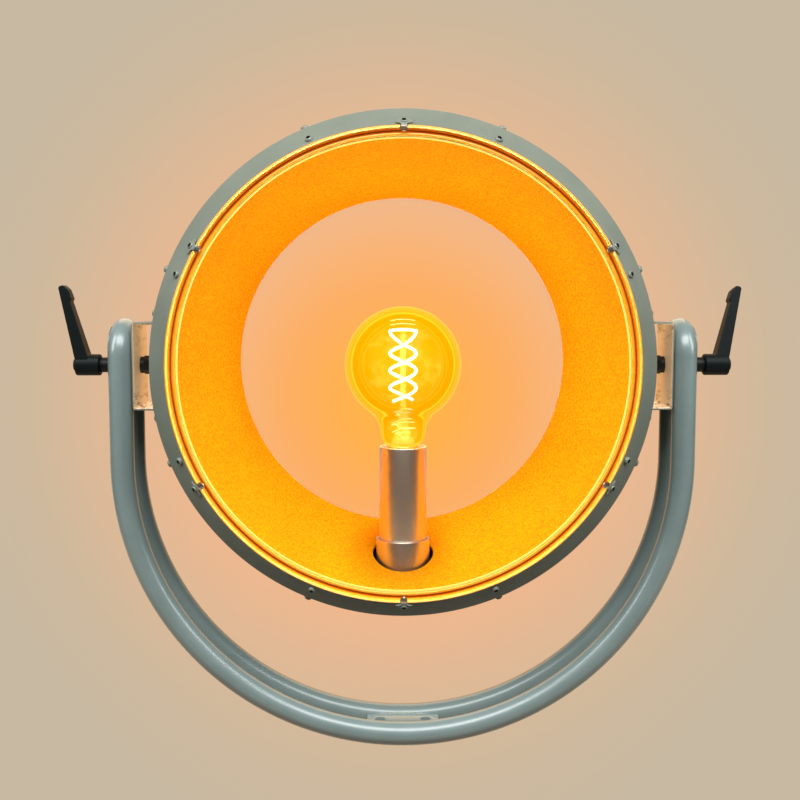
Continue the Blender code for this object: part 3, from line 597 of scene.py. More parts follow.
crown_loops = [plate_loop(share, rise) for share, rise in PIVOT_PLATE_CROWN]
crown_mesh = mesh_from("pivot_plate", skin(crown_loops, closed=True), 50)
bush_profile = softened([(PIVOT_HOLE_RADIUS, BUSH_LOW.x), (BUSH_HIGH.y, BUSH_LOW.x),
                         (BUSH_HIGH.y, BUSH_HIGH.x), (PIVOT_HOLE_RADIUS, BUSH_HIGH.x)], 0.0006)
bush_mesh = mesh_from("pivot_bush", turned(bush_profile, 40))
for side in SIDES:
    place = Matrix.Translation(PIVOT) @ SIDE_TURN[side]
    fit(f"crowned_plate_{side}", crown_mesh, yoke_enamel, "yoke", [f"pivot_plate_{side}"],
        place)
    fit(f"spacer_bush_{side}", bush_mesh, zinc, "yoke", [f"pivot_bush_{side}"],
        place @ ALONG_X)

# ============================================================ Drum shell and rear ring
# The outside of the head is a band of 1.5 mm sheet rolled into a drum, with its front edge spun in to a
# bevelled shoulder. A flat ring closes the back. Both are stove enamelled in a satin grey-green.

GAP = 0.0003
SHEET = 0.0015
FRONT_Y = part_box("front_rim")[0][1]
REAR_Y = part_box("rear_ring")[1][1]
SHOULDER_RADIUS = 0.183
SHOULDER_END_Y = -0.0365
SHELL_FRONT_SHARE = 0.08
REFLECTOR_REAR_RADIUS = 0.139
RING_STEPS = 240
ALONG_Y = Matrix.Rotation(math.radians(-90), 4, "X")
RING_PLACE = Matrix.Translation(PIVOT) @ ALONG_Y
SHELL_GREEN = (0.228, 0.250, 0.205)
SHELL_GREEN_DARK = (0.202, 0.223, 0.182)

shoulder_run = Vector((SHELL_RADIUS - SHOULDER_RADIUS, SHOULDER_END_Y - FRONT_Y))
shoulder_normal = Vector((shoulder_run.y, -shoulder_run.x)).normalized()
shoulder_lean = math.atan2(shoulder_run.x, shoulder_run.y)


def on_shoulder(share, height=0.0):
    """A (radius, y) point on the shoulder, 0 at its front edge and 1 at its rear edge."""
    return Vector((SHOULDER_RADIUS, FRONT_Y)) + shoulder_run * share + shoulder_normal * height


shell_enamel, spot = new_material("shell_enamel")
mottle = spot.noise(24, 4)
plug(shader_of(shell_enamel), {
    "Base Color": mottle.steps(0.35, 0.65).blend(SHELL_GREEN_DARK, SHELL_GREEN),
    "Roughness": spot.noise(160, 3).steps(0.3, 0.7, 0.40, 0.52),
    "Normal": spot.noise(620, 2).bump(0.00012, 0.5),
})
shell_front = on_shoulder(SHELL_FRONT_SHARE)
shell_inner_front = on_shoulder(SHELL_FRONT_SHARE, -SHEET)
shell_rear_y = REAR_Y - SHEET - GAP
shell_profile = softened([tuple(shell_front), (SHELL_RADIUS, SHOULDER_END_Y), (SHELL_RADIUS, shell_rear_y),
                          (SHELL_RADIUS - SHEET, shell_rear_y), (SHELL_RADIUS - SHEET, SHOULDER_END_Y),
                          tuple(shell_inner_front)], 0.0012, 4)
shell_mesh = mesh_from("drum_shell", turned(shell_profile, RING_STEPS))
fit("drum_shell", shell_mesh, shell_enamel, "head", ["outer_shell"], RING_PLACE)

rear_profile = softened([(REFLECTOR_REAR_RADIUS, REAR_Y - SHEET), (SHELL_RADIUS, REAR_Y - SHEET),
                         (SHELL_RADIUS, REAR_Y), (REFLECTOR_REAR_RADIUS, REAR_Y)], 0.0006, 3)
rear_mesh = mesh_from("rear_ring", turned(rear_profile, RING_STEPS))
fit("closing_ring", rear_mesh, shell_enamel, "head", ["rear_ring"], RING_PLACE)

# ============================================================ Reflector
# The inside of the head is a tapered band of 1.3 mm sheet, coated inside with a deep orange enamel that
# has a fine sanded grain. Its colour runs from yellower at the front to a deeper orange at the back. A round
# hole at the bottom lets the lampholder through.

REFLECTOR_FRONT_RADIUS = 0.1744
REFLECTOR_SHEET = 0.0013
REFLECTOR_HOLE_RADIUS = 0.025
REFLECTOR_HOLE_LOW_Z = -0.185
REFLECTOR_HOLE_HIGH_Z = -0.130
REFLECTOR_ROWS = 8
REFLECTOR_FRONT_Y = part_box("reflector_cone")[0][1]
REFLECTOR_BACK_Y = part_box("reflector_cone")[1][1]
REFLECTOR_ORANGE = (0.66, 0.205, 0.0003)
REFLECTOR_GRAIN = (0.74, 0.430, 0.0030)
REFLECTOR_ORANGE_DEEP = (0.66, 0.118, 0.0002)
REFLECTOR_GRAIN_DEEP = (0.74, 0.255, 0.0020)
FRONT_EDGE_DEPTH = 0.0006
# Painted highlight: the front edge is coloured cream and glows faintly, standing in for the bulb's light
# caught on the rolled edge.
FRONT_EDGE_PAINTED_HIGHLIGHT = (1.0, 0.70, 0.12)
FRONT_EDGE_PAINTED_BOUNCE = (0.50, 0.38, 0.10)
SAND_SHARE = 0.85

reflector_enamel, spot = new_material("reflector_enamel")
grain = spot.noise(560, 2, 0.6)
cloud = spot.noise(14, 3)
sand = grain.steps(0.34, 0.66) * SAND_SHARE + cloud.steps(0.3, 0.7) * (1 - SAND_SHARE)
front_edge = spot.axis("Y") < REFLECTOR_FRONT_Y + FRONT_EDGE_DEPTH
# The colour runs from yellower at the front to a deeper orange at the back.
front_tone = sand.blend(REFLECTOR_ORANGE, REFLECTOR_GRAIN)
back_tone = sand.blend(REFLECTOR_ORANGE_DEEP, REFLECTOR_GRAIN_DEEP)
towards_back = spot.axis("Y").steps(REFLECTOR_FRONT_Y, REFLECTOR_BACK_Y)
plug(shader_of(reflector_enamel), {
    "Base Color": front_edge.blend(towards_back.blend(front_tone, back_tone), FRONT_EDGE_PAINTED_HIGHLIGHT),
    "Roughness": grain.steps(0.3, 0.7, 0.55, 0.72),
    "Normal": grain.bump(0.00035, 0.6),
    "Specular IOR Level": 0.05,
    # The front edge's glow is a painted bounce of the bulb's light off the inner lip.
    "Emission Color": front_edge.blend((0.0, 0.0, 0.0), FRONT_EDGE_PAINTED_BOUNCE),
    "Emission Strength": 1.0,
})
cone_front = Vector((REFLECTOR_FRONT_RADIUS, REFLECTOR_FRONT_Y))
cone_run = Vector((REFLECTOR_REAR_RADIUS, shell_rear_y)) - cone_front
cone_inner = [cone_front + cone_run * step / REFLECTOR_ROWS for step in range(REFLECTOR_ROWS + 1)]
cone_profile = cone_inner + [(radius + REFLECTOR_SHEET, y) for radius, y in reversed(cone_inner)]
cone_bm = turned(cone_profile, RING_STEPS)
bmesh.ops.transform(cone_bm, matrix=RING_PLACE, verts=cone_bm.verts[:])
hole_tool = rod(REFLECTOR_HOLE_RADIUS, REFLECTOR_HOLE_LOW_Z, REFLECTOR_HOLE_HIGH_Z,
                Matrix.Translation(PIVOT), 96)
cone_mesh = shaded(settled(carved(cone_bm, [hole_tool])))
reflector = fit("tapered_reflector", cone_mesh, reflector_enamel, "head",
                ["reflector_cone"])

# ============================================================ Front lips
# Two spun rings round the front with a groove between them: the flared outer lip, notched for the filter
# clips, and the rolled inner lip that a filter would lie on. Glossy enamel in a lighter yellow orange, with a
# faint painted glow that stands in for the bulb's light bounced into the groove.

CLIP_NOTCH_WIDTH = 0.0056
NOTCH_REACH = 0.006
CLIP_ANGLES = [30 + 60 * step for step in range(6)]
OUTER_LIP_RADIUS = 0.1806
OUTER_LIP_BACK_SHARE = 0.065
LIP_FLARE_Y = -0.051
LIP_WALL_END_Y = -0.044
SEAT_FRONT_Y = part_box("filter_seat_ring")[0][1]
SEAT_OUTER_RADIUS = 0.1784
SEAT_INNER_RADIUS = 0.1760
LIP_YELLOW = (1.0, 0.52, 0.035)
LIP_YELLOW_DEEP = (1.0, 0.44, 0.015)
LIP_PAINTED_BOUNCE = (0.10, 0.024, 0.0)


def radial_place(angle, radius, y, lean=0.0):
    """A place on the ring whose Z points outwards, leant to the front, and whose X runs along the ring."""
    a = math.radians(angle)
    outward = Vector((math.cos(a), 0, math.sin(a)))
    along = Vector((-math.sin(a), 0, math.cos(a)))
    normal = outward * math.cos(lean) + Vector((0, -1, 0)) * math.sin(lean)
    across = normal.cross(along)
    place = Matrix((along, across, normal)).transposed().to_4x4()
    place.translation = PIVOT + outward * radius + Vector((0, y, 0))
    return place


rim_enamel, spot = new_material("rim_enamel")
plug(shader_of(rim_enamel), {
    "Base Color": spot.noise(90, 3).steps(0.35, 0.65).blend(LIP_YELLOW_DEEP, LIP_YELLOW),
    "Roughness": spot.noise(300, 2).steps(0.3, 0.7, 0.20, 0.30),
    "Normal": spot.noise(700, 2).bump(0.00008, 0.3),
    "Coat Weight": 1.0,
    "Coat Roughness": 0.10,
    # Painted light: a faint glow over the lips stands in for the bulb's light bounced into the groove.
    "Emission Color": LIP_PAINTED_BOUNCE,
    "Emission Strength": 1.0,
})
lip_back = on_shoulder(OUTER_LIP_BACK_SHARE)
outer_lip = softened([(OUTER_LIP_RADIUS, LIP_FLARE_Y), (SHOULDER_RADIUS - 0.0002, FRONT_Y), tuple(lip_back),
                      (OUTER_LIP_RADIUS + SHEET, LIP_FLARE_Y + 0.0002),
                      (OUTER_LIP_RADIUS + SHEET, LIP_WALL_END_Y), (OUTER_LIP_RADIUS, LIP_WALL_END_Y)],
                     0.0010, 4)
lip_bm = turned(outer_lip, RING_STEPS)
bmesh.ops.transform(lip_bm, matrix=RING_PLACE, verts=lip_bm.verts[:])
half_notch = CLIP_NOTCH_WIDTH / 2
notch_square = [(-half_notch, -NOTCH_REACH), (half_notch, -NOTCH_REACH), (half_notch, NOTCH_REACH),
                (-half_notch, NOTCH_REACH)]
notch_tools = []
for angle in CLIP_ANGLES:
    notch_place = radial_place(angle, SHOULDER_RADIUS, FRONT_Y)
    notch_tools.append(prism(notch_square, -NOTCH_REACH, NOTCH_REACH, notch_place))
lip_mesh = shaded(settled(carved(lip_bm, notch_tools)))
fit("outer_lip", lip_mesh, rim_enamel, "head", ["front_rim"])

groove_edge = OUTER_LIP_RADIUS - GAP
groove_floor_y = LIP_WALL_END_Y - SHEET
seat_profile = softened([(SEAT_INNER_RADIUS, SEAT_FRONT_Y), (SEAT_OUTER_RADIUS, SEAT_FRONT_Y),
                         (SEAT_OUTER_RADIUS, groove_floor_y), (groove_edge, groove_floor_y),
                         (groove_edge, LIP_WALL_END_Y), (SEAT_INNER_RADIUS, LIP_WALL_END_Y)], 0.0011, 4)
seat_mesh = mesh_from("inner_lip", turned(seat_profile, RING_STEPS))
fit("inner_lip", seat_mesh, rim_enamel, "head", ["filter_seat_ring"], RING_PLACE)

# ============================================================ Screws of the head
# Button-head screws with a hexagon recess: eight round the shoulder and eight round the band hold the
# sheets together, four in each bracket, eight in the rear ring. They were painted over with the shell, and the
# recess is painted near-black as shade.

SCREW_RADIUS = 0.003
SCREW_HEIGHT = 0.0028
SCREW_SOCKET_RADIUS = 0.0018
SCREW_SOCKET_DEPTH = 0.0020
SOCKET_PAINTED_SHADE = (0.012, 0.014, 0.012)
WORN_STEEL = (0.46, 0.46, 0.42)
SHOULDER_SCREW_SHARE = 0.27
BAND_SCREW_Y = -0.032
REAR_SCREW_RADIUS = 0.190
SCREW_TWIST = 17
BRACKET_SCREW_Z = 0.0415
BRACKET_SCREW_Y = 0.017
BRACKET_SHEET = 0.002
SCREW_ANGLES = [22.5 + 45 * step for step in range(8)]

screw_steel, spot = new_material("screw_steel")
wear = spot.noise(1400, 3).steps(0.56, 0.62)
sideways = spot.stretched(1, 1, 0)
from_axis = spot.node("ShaderNodeVectorMath", {"operation": "LENGTH"}, {0: sideways}, output="Value")
painted_head = wear.blend(SHELL_GREEN, WORN_STEEL)
socket_edge = SCREW_SOCKET_RADIUS * 0.98
plug(shader_of(screw_steel), {
    # Painted shade: everything within the recess's radius is coloured near-black.
    "Base Color": (from_axis < socket_edge).blend(painted_head, SOCKET_PAINTED_SHADE),
    "Roughness": spot.noise(900, 2).steps(0.3, 0.7, 0.32, 0.46),
    "Metallic": (from_axis > socket_edge) * wear * 0.8,
    "Normal": spot.noise(1500, 2).bump(0.00005, 0.4),
})


def button_head(radius, height, socket_radius, socket_depth):
    """The domed head of a screw with a hexagon recess, standing on z = 0 with a stub of its shank below."""
    shank = radius * 0.6
    rim_share = 0.22
    dome = [(0, -0.0012), (shank, -0.0012), (shank, 0.0), (radius, 0.0), (radius, height * rim_share)]
    for step in range(1, 9):
        angle = math.radians(90 * step / 8)
        rise = rim_share + (1 - rim_share) * math.sin(angle)
        dome.append((radius * max(0.0, math.cos(angle)), height * rise))
    dome[-1] = (0, height)
    recess = rod(socket_radius, height - socket_depth, height + 0.001, Matrix.Identity(4), 6)
    return shaded(settled(carved(turned(dome, 32, closed=False), [recess])), 38)


screw_mesh = button_head(SCREW_RADIUS, SCREW_HEIGHT, SCREW_SOCKET_RADIUS, SCREW_SOCKET_DEPTH)
shoulder_spot = on_shoulder(SHOULDER_SCREW_SHARE)
for number, angle in enumerate(SCREW_ANGLES, 1):
    twist = Matrix.Rotation(math.radians(SCREW_TWIST * number), 4, "Z")
    place = radial_place(angle, shoulder_spot.x, shoulder_spot.y, shoulder_lean) @ twist
    fit(f"shoulder_button_{number}", screw_mesh, screw_steel, "head",
        [f"shoulder_screw_{number}"], place)
    place = radial_place(angle, SHELL_RADIUS, BAND_SCREW_Y) @ twist
    fit(f"band_button_{number}", screw_mesh, screw_steel, "head",
        [f"band_screw_{number}"], place)
    turn = math.radians(angle)
    rear_spot = Vector((REAR_SCREW_RADIUS * math.cos(turn), REAR_Y, REAR_SCREW_RADIUS * math.sin(turn)))
    place = Matrix.Translation(PIVOT + rear_spot) @ ALONG_Y @ twist
    fit(f"rear_button_{number}", screw_mesh, screw_steel, "head", (), place)
bracket_rise = math.degrees(math.asin(BRACKET_SCREW_Z / SHELL_RADIUS))
for side in SIDES:
    for end_name, end in (("upper", 1), ("lower", -1)):
        angle = bracket_rise * end if side == "right" else 180 - bracket_rise * end
        for row, y in (("front", -BRACKET_SCREW_Y), ("rear", BRACKET_SCREW_Y)):
            place = radial_place(angle, SHELL_RADIUS + BRACKET_SHEET + GAP, y)
            nodes = [f"bracket_screw_{side}_{end_name}"] if row == "front" else ()
            fit(f"bracket_button_{side}_{end_name}_{row}", screw_mesh, screw_steel, "head",
                nodes, place)

# ============================================================ Filter clips
# Six spring-steel clips round the front. The foot lies on the shoulder under a domed screw and is enamelled
# over. The narrow bright tongue reaches through a notch of the outer lip, with a rounded tip that holds a
# filter down on the inner lip.

CLIP_SHEET = 0.001
CLIP_FOOT_WIDTH = 0.013
CLIP_TONGUE_WIDTH = 0.0046
CLIP_TIP_RADIUS = 0.0019
CLIP_TIP_DEPTH = 0.0022
CLIP_TIP_RING_RADIUS = 0.1806
CLIP_TONGUE_END_RADIUS = SEAT_OUTER_RADIUS + 0.0008
CLIP_TONGUE_BEND_RADII = (0.1800, 0.1816)
CLIP_CORNER_SHARE = 0.075
CLIP_FOOT_SHAPE = [(0.09, 0.50), (0.10, 0.90), (0.12, 1.0), (0.17, 1.0), (0.22, 0.86), (0.28, 0.60),
                   (0.34, 0.34)]
CLIP_SCREW_SHARE = 0.20
CLIP_SCREW_RADIUS = 0.0026
CLIP_SCREW_HEIGHT = 0.0014
CLIP_SOCKET_RADIUS = 0.0016
CLIP_SOCKET_DEPTH = 0.0011

clip_steel, spot = new_material("clip_steel")
enamelled = spot.axis("X") > SHOULDER_RADIUS + 0.0004
bright_steel = spot.noise(500, 3).blend((0.74, 0.66, 0.56), (0.92, 0.86, 0.78))
plug(shader_of(clip_steel), {
    "Base Color": enamelled.blend(bright_steel, SHELL_GREEN),
    "Roughness": enamelled * 0.18 + spot.noise(1200, 2).steps(0.3, 0.7, 0.22, 0.34),
    "Metallic": 1.0 - enamelled,
    "Normal": spot.noise(500, 2).bump(0.00006, 0.4),
})


def strip(line, sheet, widths):
    """A bent strip of sheet metal: (radius, y) points of its middle line, and its width at each."""
    loops = []
    for index, point in enumerate(line):
        before = Vector(line[max(0, index - 1)])
        after = Vector(line[min(len(line) - 1, index + 1)])
        run = (after - before).normalized()
        normal = Vector((run.y, -run.x)) * sheet / 2
        upper, lower = Vector(point) + normal, Vector(point) - normal
        half = widths[index] / 2
        loops.append([(upper.x, upper.y, -half), (upper.x, upper.y, half), (lower.x, lower.y, half),
                      (lower.x, lower.y, -half)])
    return skin(loops)


clip_middle = CLIP_SHEET / 2 + GAP
clip_tongue_y = FRONT_Y + 0.0009
clip_corner = on_shoulder(CLIP_CORNER_SHARE, clip_middle)
clip_line = [(radius, clip_tongue_y) for radius in (CLIP_TONGUE_END_RADIUS, *CLIP_TONGUE_BEND_RADII)]
clip_line.append((clip_corner.x, clip_corner.y - 0.0001))
clip_widths = [CLIP_TONGUE_WIDTH * share for share in (0.8, 1.0, 1.0, 1.02)]
for share, width in CLIP_FOOT_SHAPE:
    clip_line.append(tuple(on_shoulder(share, clip_middle)))
    clip_widths.append(CLIP_FOOT_WIDTH * width)
clip_mesh = eased(solid(strip(clip_line, CLIP_SHEET, clip_widths)), 0.0003, 2, 50)
clip_screw_mesh = button_head(CLIP_SCREW_RADIUS, CLIP_SCREW_HEIGHT, CLIP_SOCKET_RADIUS, CLIP_SOCKET_DEPTH)
tip_profile = softened([(0, -CLIP_TIP_DEPTH), (CLIP_TIP_RADIUS, -CLIP_TIP_DEPTH), (CLIP_TIP_RADIUS, 0.0003),
                        (0, 0.0007)], 0.0009, 4, closed=False)
tip_mesh = mesh_from("clip_tip", turned(tip_profile, 24, closed=False))
clip_spot = on_shoulder(CLIP_SCREW_SHARE, CLIP_SHEET + GAP)
for number, angle in enumerate(CLIP_ANGLES, 1):
    place = Matrix.Translation(PIVOT) @ Matrix.Rotation(math.radians(-angle), 4, "Y")
    fit(f"spring_clip_{number}", clip_mesh, clip_steel, "head",
        [f"filter_clip_{number}"], place)
    place = radial_place(angle, clip_spot.x, clip_spot.y, shoulder_lean)
    fit(f"clip_button_{number}", clip_screw_mesh, screw_steel, "head", (), place)
    place = radial_place(angle, CLIP_TIP_RING_RADIUS, clip_tongue_y + 0.0001, math.radians(90))
    fit(f"clip_tip_{number}", tip_mesh, clip_steel, "head", (), place)

# ============================================================ Side brackets and bolts
# A hat-section strap of 2 mm sheet stands off each side of the drum. It is enamelled outside and was left
# in its rolled, heat-tanned state inside, where a faint painted glow stands in for warm light bounced onto it
# from the drum. A blackened M8 hexagon bolt comes through it from inside.

BRACKET_OUTER_X = 0.2152
BRACKET_WIDTH = 0.050
BRACKET_LEG_Z = 0.035
BRACKET_TAB_Z = 0.047
BRACKET_CORNER = 0.0035
BOLT_RADIUS = 0.004
BOLT_FLATS = 0.013
BOLT_HEAD_LENGTH = 0.0073
BOLT_NECK_RADIUS = 0.0068
BOLT_NECK_LENGTH = 0.0026
BOLT_END_X = 0.244
THREAD_DEPTH = 0.0006
THREAD_STEPS = 38
HEAT_TAN = (0.98, 0.86, 0.70)
HEAT_STAIN = (0.42, 0.25, 0.14)
RING_PAINTED_BOUNCE = (0.28, 0.17, 0.085)


def tab_points(radius, leg_z, steps=6):
    """The part of the strap that lies on the drum, from its end to the foot of its leg."""
    start = math.degrees(math.asin(BRACKET_TAB_Z / radius))
    end = math.degrees(math.asin(leg_z / radius))
    return arc((0, 0), radius, start, end, steps)


def strap_half(radius, leg_z, plate_x, corner):
    """One face of the strap's upper half."""
    tab = tab_points(radius, leg_z)
    foot = softened([tab[-2], tab[-1], (plate_x, leg_z), (plate_x, 0)], corner, 6, closed=False)
    return tab[:-2] + foot[:-1]


bracket_enamel, spot = new_material("bracket_enamel")
lateral = abs(spot.axis("X"))
height = abs(spot.axis("Z") - PIVOT.z)
inside = (lateral < BRACKET_OUTER_X - BRACKET_SHEET * 0.55) * (height < BRACKET_LEG_Z - BRACKET_SHEET * 0.55)
streaks = spot.stretched(1, 0.35, 1.6).noise(190, 5, 0.65)
stain = streaks.steps(0.50, 0.62) * height.steps(0.016, 0.031, 0.15, 1.0)
tan = stain.blend(HEAT_TAN, HEAT_STAIN)
green = spot.noise(24, 4).blend(SHELL_GREEN_DARK, SHELL_GREEN)
plug(shader_of(bracket_enamel), {
    "Base Color": inside.blend(green, tan),
    "Roughness": 0.45 - inside * (0.03 - stain * 0.15),
    "Metallic": inside,
    # Painted light: the inside glows faintly, less on its stains, standing in for light bounced from the drum.
    "Emission Color": (inside * (1.0 - stain * 0.6)).blend((0, 0, 0), RING_PAINTED_BOUNCE),
    "Emission Strength": 1.0,
    "Normal": spot.noise(620, 2).bump(0.00012, 0.5),
})
black_steel, spot = new_material("black_steel")
plug(shader_of(black_steel), {
    "Base Color": spot.noise(400, 4).blend((0.005, 0.005, 0.005), (0.014, 0.014, 0.015)),
    "Roughness": spot.noise(900, 2).steps(0.3, 0.7, 0.38, 0.55),
    "Specular IOR Level": 0.25,
    "Normal": spot.noise(1300, 2).bump(0.00005, 0.5),
})
SWAP_YZ = Matrix(((1, 0, 0, 0), (0, 0, 1, 0), (0, 1, 0, 0), (0, 0, 0, 1)))
drum_side = SHELL_RADIUS + GAP
upper_outer = strap_half(drum_side + BRACKET_SHEET, BRACKET_LEG_Z, BRACKET_OUTER_X, BRACKET_CORNER)
upper_inner = strap_half(drum_side, BRACKET_LEG_Z - BRACKET_SHEET, BRACKET_OUTER_X - BRACKET_SHEET,
                         BRACKET_CORNER - BRACKET_SHEET)
strap_outline = upper_outer + [(x, -z) for x, z in reversed(upper_outer)]
strap_outline += [(x, -z) for x, z in upper_inner] + list(reversed(upper_inner))

thread_start = BRACKET_OUTER_X - BRACKET_SHEET - GAP
head_x = thread_start - BOLT_NECK_LENGTH
start_x = head_x - BOLT_HEAD_LENGTH
hex_radius = BOLT_FLATS / 2 / math.cos(math.radians(30))
clear_radius = hex_radius + 0.0001
hex_bm = turned([(0, start_x), (hex_radius, start_x), (hex_radius, head_x), (0, head_x)], 6, closed=False)
chamfer_bm = turned([(0, start_x), (BOLT_FLATS / 2 * 0.94, start_x), (clear_radius, start_x + 0.0009),
                     (clear_radius, head_x - 0.0005), (BOLT_FLATS / 2, head_x), (0, head_x)], 48,
                    closed=False)
bolt_head = bmesh.new()
bolt_head.from_mesh(settled(carved(hex_bm, [chamfer_bm], "INTERSECT")))
thread = [(0, head_x - 0.001), (BOLT_NECK_RADIUS, head_x - 0.001), (BOLT_NECK_RADIUS, thread_start)]
thread_run = BOLT_END_X - 0.0008 - thread_start
for step in range(THREAD_STEPS + 1):
    groove = THREAD_DEPTH * (step % 2)
    thread.append((BOLT_RADIUS - groove, thread_start + thread_run * step / THREAD_STEPS))
thread += [(BOLT_RADIUS - 0.0010, BOLT_END_X), (0, BOLT_END_X)]
bolt_mesh = shaded(settled(carved(turned(thread, 40, closed=False), [bolt_head], "UNION")), 28)
for side in SIDES:
    place = Matrix.Translation(PIVOT) @ SIDE_TURN[side]
    strap_bm = prism(strap_outline, -BRACKET_WIDTH / 2, BRACKET_WIDTH / 2, place @ SWAP_YZ)
    strap_mesh = eased(solid(strap_bm), 0.0004, 2, 60)
    fit(f"hat_bracket_{side}", strap_mesh, bracket_enamel, "head", [f"side_bracket_{side}"])
    fit(f"hex_bolt_{side}", bolt_mesh, black_steel, "head", [f"pivot_bolt_{side}"],
        place @ ALONG_X)

# ============================================================ Clamping levers
# Each pivot is tightened by an adjustable lever: a blackened threaded insert, a die-cast handle with a
# textured black coat that leans outwards, a spring in its pocket, and a screw that keeps them together.

HUB_RADIUS = 0.0087
HUB_X = 0.2456
HUB_END_X = 0.2653
POCKET_X = 0.257
SHOULDER_X = 0.2535
BOSS_RADIUS = 0.0054
HUB_BORE_RADIUS = 0.0060
KEEPER_BORE_RADIUS = 0.0025
COLLAR_X = 0.2382
COLLAR_RADIUS = 0.0061
BOSS_END_X = 0.252
SCREW_HEAD_X = 0.2639
SCREW_END_X = 0.2671
POCKET_RADIUS = 0.0052
ARM_BASE_Z = 0.0050
ARM_TIP_Z = 0.0645
ARM_OUTLINE = [(0.2540, ARM_BASE_Z), (0.2650, ARM_BASE_Z), (0.2774, 0.0622), (0.2767, 0.0636),
               (0.2733, ARM_TIP_Z), (0.2693, 0.0610), (0.2666, 0.0530), (0.2679, 0.0516)]
ARM_BASE_HALF_WIDTH = 0.0075
ARM_TIP_HALF_WIDTH = 0.0048
LEVER_TURN = {"left": 0.0, "right": math.radians(-10)}
KEEPER_SHANK_RADIUS = 0.0020
KEEPER_HEAD_RADIUS = 0.0048
SPRING_RADIUS = 0.0038
SPRING_WIRE_RADIUS = 0.0004
SPRING_TURNS = 3
SPRING_STEPS = 24

lever_black, spot = new_material("lever_black")
pebble = spot.noise(1500, 2)
plug(shader_of(lever_black), {
    "Base Color": spot.noise(120, 3).blend((0.003, 0.006, 0.006), (0.006, 0.010, 0.010)),
    "Roughness": pebble.steps(0.3, 0.7, 0.40, 0.54),
    "Specular IOR Level": 0.16,
    "Normal": pebble.bump(0.00018, 0.5),
})


def arm_width(z):
    """Half the arm's width, which narrows from the hub to the tip."""
    along = (z - ARM_BASE_Z) / (ARM_TIP_Z - ARM_BASE_Z)
    return ARM_BASE_HALF_WIDTH + (ARM_TIP_HALF_WIDTH - ARM_BASE_HALF_WIDTH) * along


def lever_handle_mesh():
    """The hub and the arm cast in one, with soft fillets and rounded edges."""
    hub = softened([(HUB_BORE_RADIUS, HUB_X), (HUB_RADIUS, HUB_X), (HUB_RADIUS, HUB_END_X),
                    (POCKET_RADIUS, HUB_END_X), (POCKET_RADIUS, POCKET_X), (KEEPER_BORE_RADIUS, POCKET_X),
                    (KEEPER_BORE_RADIUS, SHOULDER_X), (HUB_BORE_RADIUS, SHOULDER_X)], 0.0009, 3)
    hub_bm = turned(hub, 64)
    bmesh.ops.transform(hub_bm, matrix=ALONG_X, verts=hub_bm.verts[:])
    outline = softened(ARM_OUTLINE, 0.0010, 3)
    front = [(x, -arm_width(z), z) for x, z in outline]
    back = [(x, arm_width(z), z) for x, z in outline]
    arm_bm = bmesh.new()
    arm_bm.from_mesh(eased(solid(skin([front, back])), 0.0011, 3, 40))
    joined_bm = bmesh.new()
    joined_bm.from_mesh(settled(carved(hub_bm, [arm_bm], "UNION")))
    pocket = rod(POCKET_RADIUS, POCKET_X, HUB_END_X + 0.01, ALONG_X, 48)
    bore = rod(HUB_BORE_RADIUS, HUB_X - 0.01, SHOULDER_X, ALONG_X, 48)
    cast = carved(joined_bm, [pocket, bore])
    remesh = cast.modifiers.new("cast", "REMESH")
    remesh.mode = "VOXEL"
    remesh.voxel_size = 0.00042
    smooth = cast.modifiers.new("soften", "SMOOTH")
    smooth.iterations = 5
    smooth.factor = 0.5
    mesh = settled(cast)
    mesh.shade_smooth()
    return mesh


handle_mesh = lever_handle_mesh()
bore_radius = BOLT_RADIUS + GAP
keeper_thread_radius = KEEPER_SHANK_RADIUS + GAP
insert_profile = softened([(bore_radius, COLLAR_X), (COLLAR_RADIUS, COLLAR_X), (COLLAR_RADIUS, HUB_X - GAP),
                           (BOSS_RADIUS, HUB_X - GAP), (BOSS_RADIUS, BOSS_END_X),
                           (keeper_thread_radius, BOSS_END_X), (keeper_thread_radius, HUB_X + 0.0012),
                           (bore_radius, HUB_X - 0.0006)], 0.0004, 2)
insert_mesh = mesh_from("threaded_insert", turned(insert_profile, 48))
screw_recess = rod(0.0015, SCREW_END_X - 0.0018, SCREW_END_X + 0.001, Matrix.Identity(4), 6)
keeper_profile = softened([(0, HUB_X + 0.0015), (KEEPER_SHANK_RADIUS, HUB_X + 0.0015),
                           (KEEPER_SHANK_RADIUS, SCREW_HEAD_X), (KEEPER_HEAD_RADIUS, SCREW_HEAD_X),
                           (KEEPER_HEAD_RADIUS, SCREW_END_X), (0, SCREW_END_X)], 0.0006, 3, closed=False)
keeper_mesh = shaded(settled(carved(turned(keeper_profile, 40, closed=False), [screw_recess])))
coil = []
coil_start = POCKET_X + 0.0007
coil_run = SCREW_HEAD_X - POCKET_X - 0.0014
for step in range(SPRING_STEPS * SPRING_TURNS + 1):
    angle = math.tau * step / SPRING_STEPS
    along = coil_start + coil_run * step / (SPRING_STEPS * SPRING_TURNS)
    coil.append((along, SPRING_RADIUS * math.cos(angle), SPRING_RADIUS * math.sin(angle)))
spring_coil = bpy.data.objects.new("coil", wire_curve("return_spring", coil, SPRING_WIRE_RADIUS, 10))
bpy.context.scene.collection.objects.link(spring_coil)
spring_mesh = settled(spring_coil)
